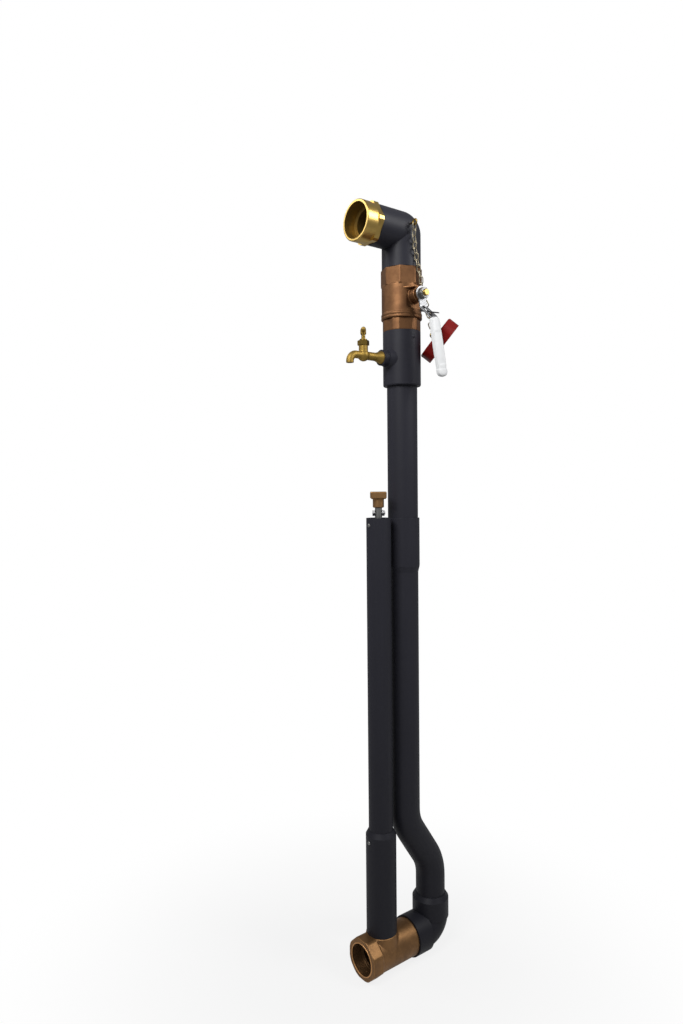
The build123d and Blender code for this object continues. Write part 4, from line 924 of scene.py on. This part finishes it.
class HYDRANT_OT_chain(Step, bpy.types.Operator):
    """Make the cap's chain of round wire links, each where the frame's link lies"""
    bl_idname = "hydrant.make_chain"
    bl_label = "Chain"
    loop_steps = 28
    wire_sides = 10
    fewest_links = 10

    def link(self, shell, wire):
        """One stadium shaped link, laid along and across the points of the frame's link."""
        centre = sum(shell, Vector()) / len(shell)

        def reach(way):
            return max(abs((point - centre).dot(way)) for point in shell)

        far = max(shell, key=lambda point: (point - centre).length)
        lengthwise = (far - centre).normalized()
        first, second = across(lengthwise)
        turns = [pi * step / 90 for step in range(90)]
        normal = min((first * cos(turn) + second * sin(turn) for turn in turns), key=reach)
        side = lengthwise.cross(normal)
        half = reach(side) - wire
        straight = reach(lengthwise) - wire - half
        loop = []
        for step in range(self.loop_steps):
            turn = tau * step / self.loop_steps
            end = straight if cos(turn) >= 0 else -straight
            loop.append(centre + lengthwise * (end + half * cos(turn)) + side * half * sin(turn))

        def section(forward):
            out = forward.cross(normal).normalized()
            leans = [tau * step / self.wire_sides for step in range(self.wire_sides)]
            return [(out * cos(lean) + normal * sin(lean)) * wire for lean in leans]

        return swept_ring(loop, section)

    def execute(self, context):
        wire = context.scene.hydrant_sizes.link_wire
        shells = islands(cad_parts["cap_chain"].data)
        if len(shells) < self.fewest_links:
            raise RuntimeError("the frame's chain has too few separate links")
        links = [self.link(shell, wire) for shell in shells]
        piece = built(context, "chain_links", "chain", "chain", "steel", *links)
        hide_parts("cap_chain")
        return {"FINISHED"}


class HYDRANT_OT_set_screws(Step, bpy.types.Operator):
    """Make the two slotted pan head screws that hold the casing"""
    bl_idname = "hydrant.make_set_screws"
    bl_label = "Set screws"
    head_height = 0.0024
    thread_pitch = 0.0009
    thread_height = 0.0003
    slot_depth = 0.0003
    slot_turn = radians(24)

    def screw(self, shell):
        """Head, shank, thread and slot of one screw, where the frame's screw lies."""
        low, high = span(shell)
        radius = (high.x - low.x) / 2
        centre = Vector(((low.x + high.x) / 2, 0, (low.z + high.z) / 2))
        face, tail = low.y, high.y
        head = min(self.head_height, (tail - face) / 3)
        shank = radius * 0.62
        profile = (
            (0.0004, face - 0.0006), (radius * 0.5, face - 0.0005), (radius * 0.85, face),
            (radius, face + head * 0.45), (radius, face + head * 0.95), (shank, face + head),
            (shank, tail - 0.0008), (shank * 0.5, tail))
        ridge = thread_ridge(
            centre, Y, shank, self.thread_pitch, self.thread_height, face + head, tail - 0.001)
        return [lathe(profile, centre, Y, 32), ridge, self.slot(centre, face - 0.0006, radius)]

    def slot(self, centre, face, radius):
        """The slot across the head, shown by a thin bar along it."""
        half, wide, lean = radius * 0.92, radius * 0.14, self.slot_turn
        lengthwise, crosswise = Vector((cos(lean), 0, sin(lean))), Vector((-sin(lean), 0, cos(lean)))
        points = []
        for level in (face - self.slot_depth * 0.4, face + self.slot_depth):
            for along, aside in ((-half, -wide), (half, -wide), (half, wide), (-half, wide)):
                points.append(centre + lengthwise * along + crosswise * aside + Y * level)
        return points, skin(2, 4)

    def execute(self, context):
        shells = islands(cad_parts["casing_set_screws"].data)
        screws = [form for shell in shells for form in self.screw(shell)]
        piece = built(context, "set_screws", "screw", "hydrant", "steel", *screws)
        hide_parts("casing_set_screws")
        return {"FINISHED"}


class HYDRANT_OT_glue_beads(Step, bpy.types.Operator):
    """Make the uneven beads of pipe cement at the glued joints"""
    bl_idname = "hydrant.make_glue_beads"
    bl_label = "Glue beads"
    sides = 96
    parts = 8
    counts = (2, 3, 5, 7, 11, 17)

    def bead(self, centre, radius, size, seed):
        """A ring whose thickness wanders."""
        chance = random.Random(seed)
        waves = []
        for _ in range(6):
            waves.append((chance.uniform(0, tau), chance.choice(self.counts), chance.uniform(0.3, 1)))
        total = sum(weight for _, _, weight in waves)
        points = []
        for step in range(self.sides):
            turn = tau * step / self.sides
            wander = sum(weight * sin(turn * count + start) for start, count, weight in waves) / total
            thick = size * (0.75 + 0.45 * wander)
            out = Vector((cos(turn), sin(turn), 0))
            for part in range(self.parts):
                lean = tau * part / self.parts
                offset = out * cos(lean) * thick + Z * sin(lean) * thick * 0.8
                points.append(Vector(centre) + out * radius + offset)
        return points, skin(self.sides, self.parts, True)

    def execute(self, context):
        size = context.scene.hydrant_sizes.glue_bead
        places = [
            ((*RISER_AXIS, foot_of("sampling_tee")), RISER_R, 3),
            ((*RISER_AXIS, top_of("offset_riser_pipe")), RISER_R, 5),
            ((*LOWER_AXIS, top_of("lower_elbow")), RISER_R, 7),
            ((*CASING_AXIS, top_of("lower_casing_sleeve")), CASING_R, 9),
        ]
        beads = [self.bead(centre, radius, size, seed) for centre, radius, seed in places]
        built(context, "glue_beads", "fitting", "hydrant", "grey_pipe_plastic", *beads)
        return {"FINISHED"}


class HYDRANT_OT_threads(Step, bpy.types.Operator):
    """Make the threads of the inlet and the valve stem"""
    bl_idname = "hydrant.make_threads"
    bl_label = "Threads"

    def execute(self, context):
        sizes = context.scene.hydrant_sizes
        stem_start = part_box("lever_nut")[1][0] - 0.001
        stem_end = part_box("valve_stem")[1][0] - 0.0012
        stem = thread_ridge(
            STEM_CENTRE, X, STEM_THREAD_R, sizes.stem_pitch, sizes.thread_height * 0.6, stem_start, stem_end)
        built(context, "stem_thread", "stem", "valve_core", "brass", stem)
        inlet = thread_ridge(
            FOOT_CENTRE, Y, MOUTH_THREAD_R, sizes.inlet_pitch, sizes.thread_height, *THREAD_RUN,
            outward=False, per_turn=72)
        built(context, "inlet_thread", "foot", "hydrant", "bronze_casting", inlet)
        return {"FINISHED"}


class HYDRANT_OT_moulding_marks(Step, bpy.types.Operator):
    """Make the small gate mark that moulding leaves on the plastic tee"""
    bl_idname = "hydrant.make_moulding_marks"
    bl_label = "Moulding marks"

    def execute(self, context):
        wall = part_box("sampling_tee")[1][0]
        place = (wall - 0.0001, RISER_AXIS.y - 0.003, top_of("sampling_tee") - 0.014)
        mark = lathe(GATE_PROFILE, place, X, 28)
        built(context, "moulding_marks", "fitting", "hydrant", "grey_pipe_plastic", mark)
        return {"FINISHED"}


class HYDRANT_OT_studio(Step, bpy.types.Operator):
    """Set the floor, the backdrop, the lamps and the camera"""
    bl_idname = "hydrant.set_studio"
    bl_label = "Studio"
    fade = (0.1, 0.8)
    shade = 0.16

    def floor(self, context):
        """A sheet of paper that lies under the hydrant and curves up behind it."""
        reach = context.scene.hydrant_sizes.floor_reach
        level = min(foot_of(name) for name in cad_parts) - 0.0006
        flat, bend, back = reach * 0.45, reach * 0.25, reach * 0.9
        rows = [(-reach, level), (flat, level)]
        for step in range(1, 17):
            turn = pi / 2 * step / 16
            rows.append((flat + bend * sin(turn), level + bend * (1 - cos(turn))))
        rows.append((flat + bend, level + back))
        away, side = Vector((-0.795, 0.606, 0)), Vector((0.606, 0.795, 0))
        points, faces = [], []
        for along, high in rows:
            points += [away * along - side * reach + Z * high, away * along + side * reach + Z * high]
        for row in range(len(rows) - 1):
            faces.append([row * 2, row * 2 + 1, row * 2 + 3, row * 2 + 2])
        paper = self.paper(context.scene.hydrant_studio.mirrored)
        shown("studio_floor", joined("studio_floor", [(points, faces)]), paper)

    def paper(self, mirrored):
        """Pale paper that keeps the shadow near the hydrant and is white further off."""
        finish = Finish("studio_paper", Roughness=0.9, Specular_IOR_Level=0.1)
        grain = finish.noise(160, 3.0)
        finish.colour(finish.mixed(grain * 0.3, (0.60, 0.60, 0.60), (0.57, 0.57, 0.57)))
        far = finish.around(FOOT_CENTRE, Z)[1].ramp(*self.fade) * self.shade + (1 - self.shade)
        white = finish.node("ShaderNodeEmission", {"Color": (1, 1, 1), "Strength": 1.0})
        blend = finish.node(
            "ShaderNodeMixShader",
            {0: (far * finish.seen(mirrored)).held(), 1: finish.shader.outputs[0], 2: white.outputs[0]})
        finish.feed(finish.output.inputs["Surface"], blend.outputs[0])
        return finish.material

    def world(self, context):
        """A soft grey light from all sides, behind a backdrop that the camera sees as white."""
        world = bpy.data.worlds.new("studio_world")
        context.scene.world = world
        world.use_nodes = True
        studio = context.scene.hydrant_studio
        nodes = Nodes(world.node_tree)
        soft = nodes.node(
            "ShaderNodeBackground", {"Color": (0.96, 0.98, 1.0), "Strength": studio.ambient})
        white = nodes.node("ShaderNodeBackground", {"Color": (1, 1, 1), "Strength": 1.0})
        blend = nodes.node(
            "ShaderNodeMixShader",
            {0: nodes.seen(studio.mirrored), 1: soft.outputs[0], 2: white.outputs[0]})
        nodes.node("ShaderNodeOutputWorld", {"Surface": blend.outputs[0]})

    def lamp(self, name, watts, place, wide, high):
        """A soft lamp that points at the hydrant's upper half."""
        data = bpy.data.lights.new(name, "AREA")
        data.shape = "RECTANGLE"
        data.size = wide
        data.size_y = high
        data.energy = watts
        lamp = placed(name, data)
        lamp.location = place
        lamp.rotation_euler = (LAMP_TARGET - Vector(place)).to_track_quat("-Z", "Y").to_euler()

    def camera(self, context):
        """The photograph's camera: turned about the vertical, tilted down, then rolled."""
        studio = context.scene.hydrant_studio
        data = bpy.data.cameras.new("studio_camera")
        data.sensor_fit = "VERTICAL"
        data.sensor_height = SENSOR_HEIGHT
        data.lens = FOCAL_LENGTH / PICTURE_HEIGHT * SENSOR_HEIGHT
        data.shift_y = PICTURE_SHIFT / PICTURE_HEIGHT
        data.clip_start = 0.01
        data.clip_end = 60
        camera = placed("studio_camera", data)
        right = Vector((sin(studio.heading), cos(studio.heading), 0))
        ahead = Vector((-cos(studio.heading), sin(studio.heading), 0))
        forward = ahead * cos(studio.pitch) - Z * sin(studio.pitch)
        upward = Z * cos(studio.pitch) + ahead * sin(studio.pitch)
        across_roll = right * cos(studio.roll) + upward * sin(studio.roll)
        up_roll = upward * cos(studio.roll) - right * sin(studio.roll)
        turn = Matrix((across_roll, up_roll, -forward)).transposed().to_4x4()
        turn.translation = CAMERA_PLACE
        camera.matrix_world = turn
        context.scene.camera = camera

    def execute(self, context):
        studio = context.scene.hydrant_studio
        self.floor(context)
        self.world(context)
        self.lamp("key_lamp", studio.key, (0.6, -1.4, 2.2), 1.0, 0.9)
        self.lamp("fill_lamp", studio.fill, (1.5, 0.95, 2.1), 0.8, 0.9)
        self.lamp("crown_lamp", studio.crown, (-1.0, -0.9, 2.3), 0.8, 0.9)
        self.camera(context)
        context.scene.view_settings.view_transform = "Standard"
        return {"FINISHED"}


PARTS = (
    HYDRANT_OT_pipes, HYDRANT_OT_castings, HYDRANT_OT_turned, HYDRANT_OT_tap, HYDRANT_OT_steel,
    HYDRANT_OT_soft, HYDRANT_OT_worn_castings, HYDRANT_OT_worn_tap, HYDRANT_OT_worn_cap,
    HYDRANT_OT_grip, HYDRANT_OT_cast_details, HYDRANT_OT_chain, HYDRANT_OT_set_screws,
    HYDRANT_OT_glue_beads, HYDRANT_OT_threads, HYDRANT_OT_moulding_marks, HYDRANT_OT_studio,
)


class HYDRANT_PT_panel(bpy.types.Panel):
    """The hydrant's parts, sizes and colours"""
    bl_label = "Sampling hydrant"
    bl_idname = "HYDRANT_PT_panel"
    bl_space_type = "VIEW_3D"
    bl_region_type = "UI"
    bl_category = "Hydrant"

    def draw(self, context):
        for group, kind in GROUPS.items():
            box = self.layout.box()
            for name in kind.__annotations__:
                box.prop(getattr(context.scene, group), name)
        for part in PARTS:
            self.layout.operator(part.bl_idname)


GROUPS = {"hydrant_colours": HydrantColours, "hydrant_sizes": HydrantSizes, "hydrant_studio": HydrantStudio}
CLASSES = (*GROUPS.values(), *PARTS, HYDRANT_PT_panel)


def register():
    for kind in CLASSES:
        bpy.utils.register_class(kind)
    for name, kind in GROUPS.items():
        setattr(bpy.types.Scene, name, bpy.props.PointerProperty(type=kind))


def unregister():
    for name in GROUPS:
        delattr(bpy.types.Scene, name)
    for kind in reversed(CLASSES):
        bpy.utils.unregister_class(kind)


def main():
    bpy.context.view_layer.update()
    register()
    for part in PARTS:
        group, _, name = part.bl_idname.partition(".")
        getattr(getattr(bpy.ops, group), name)()


if __name__ == "__main__":
    main()
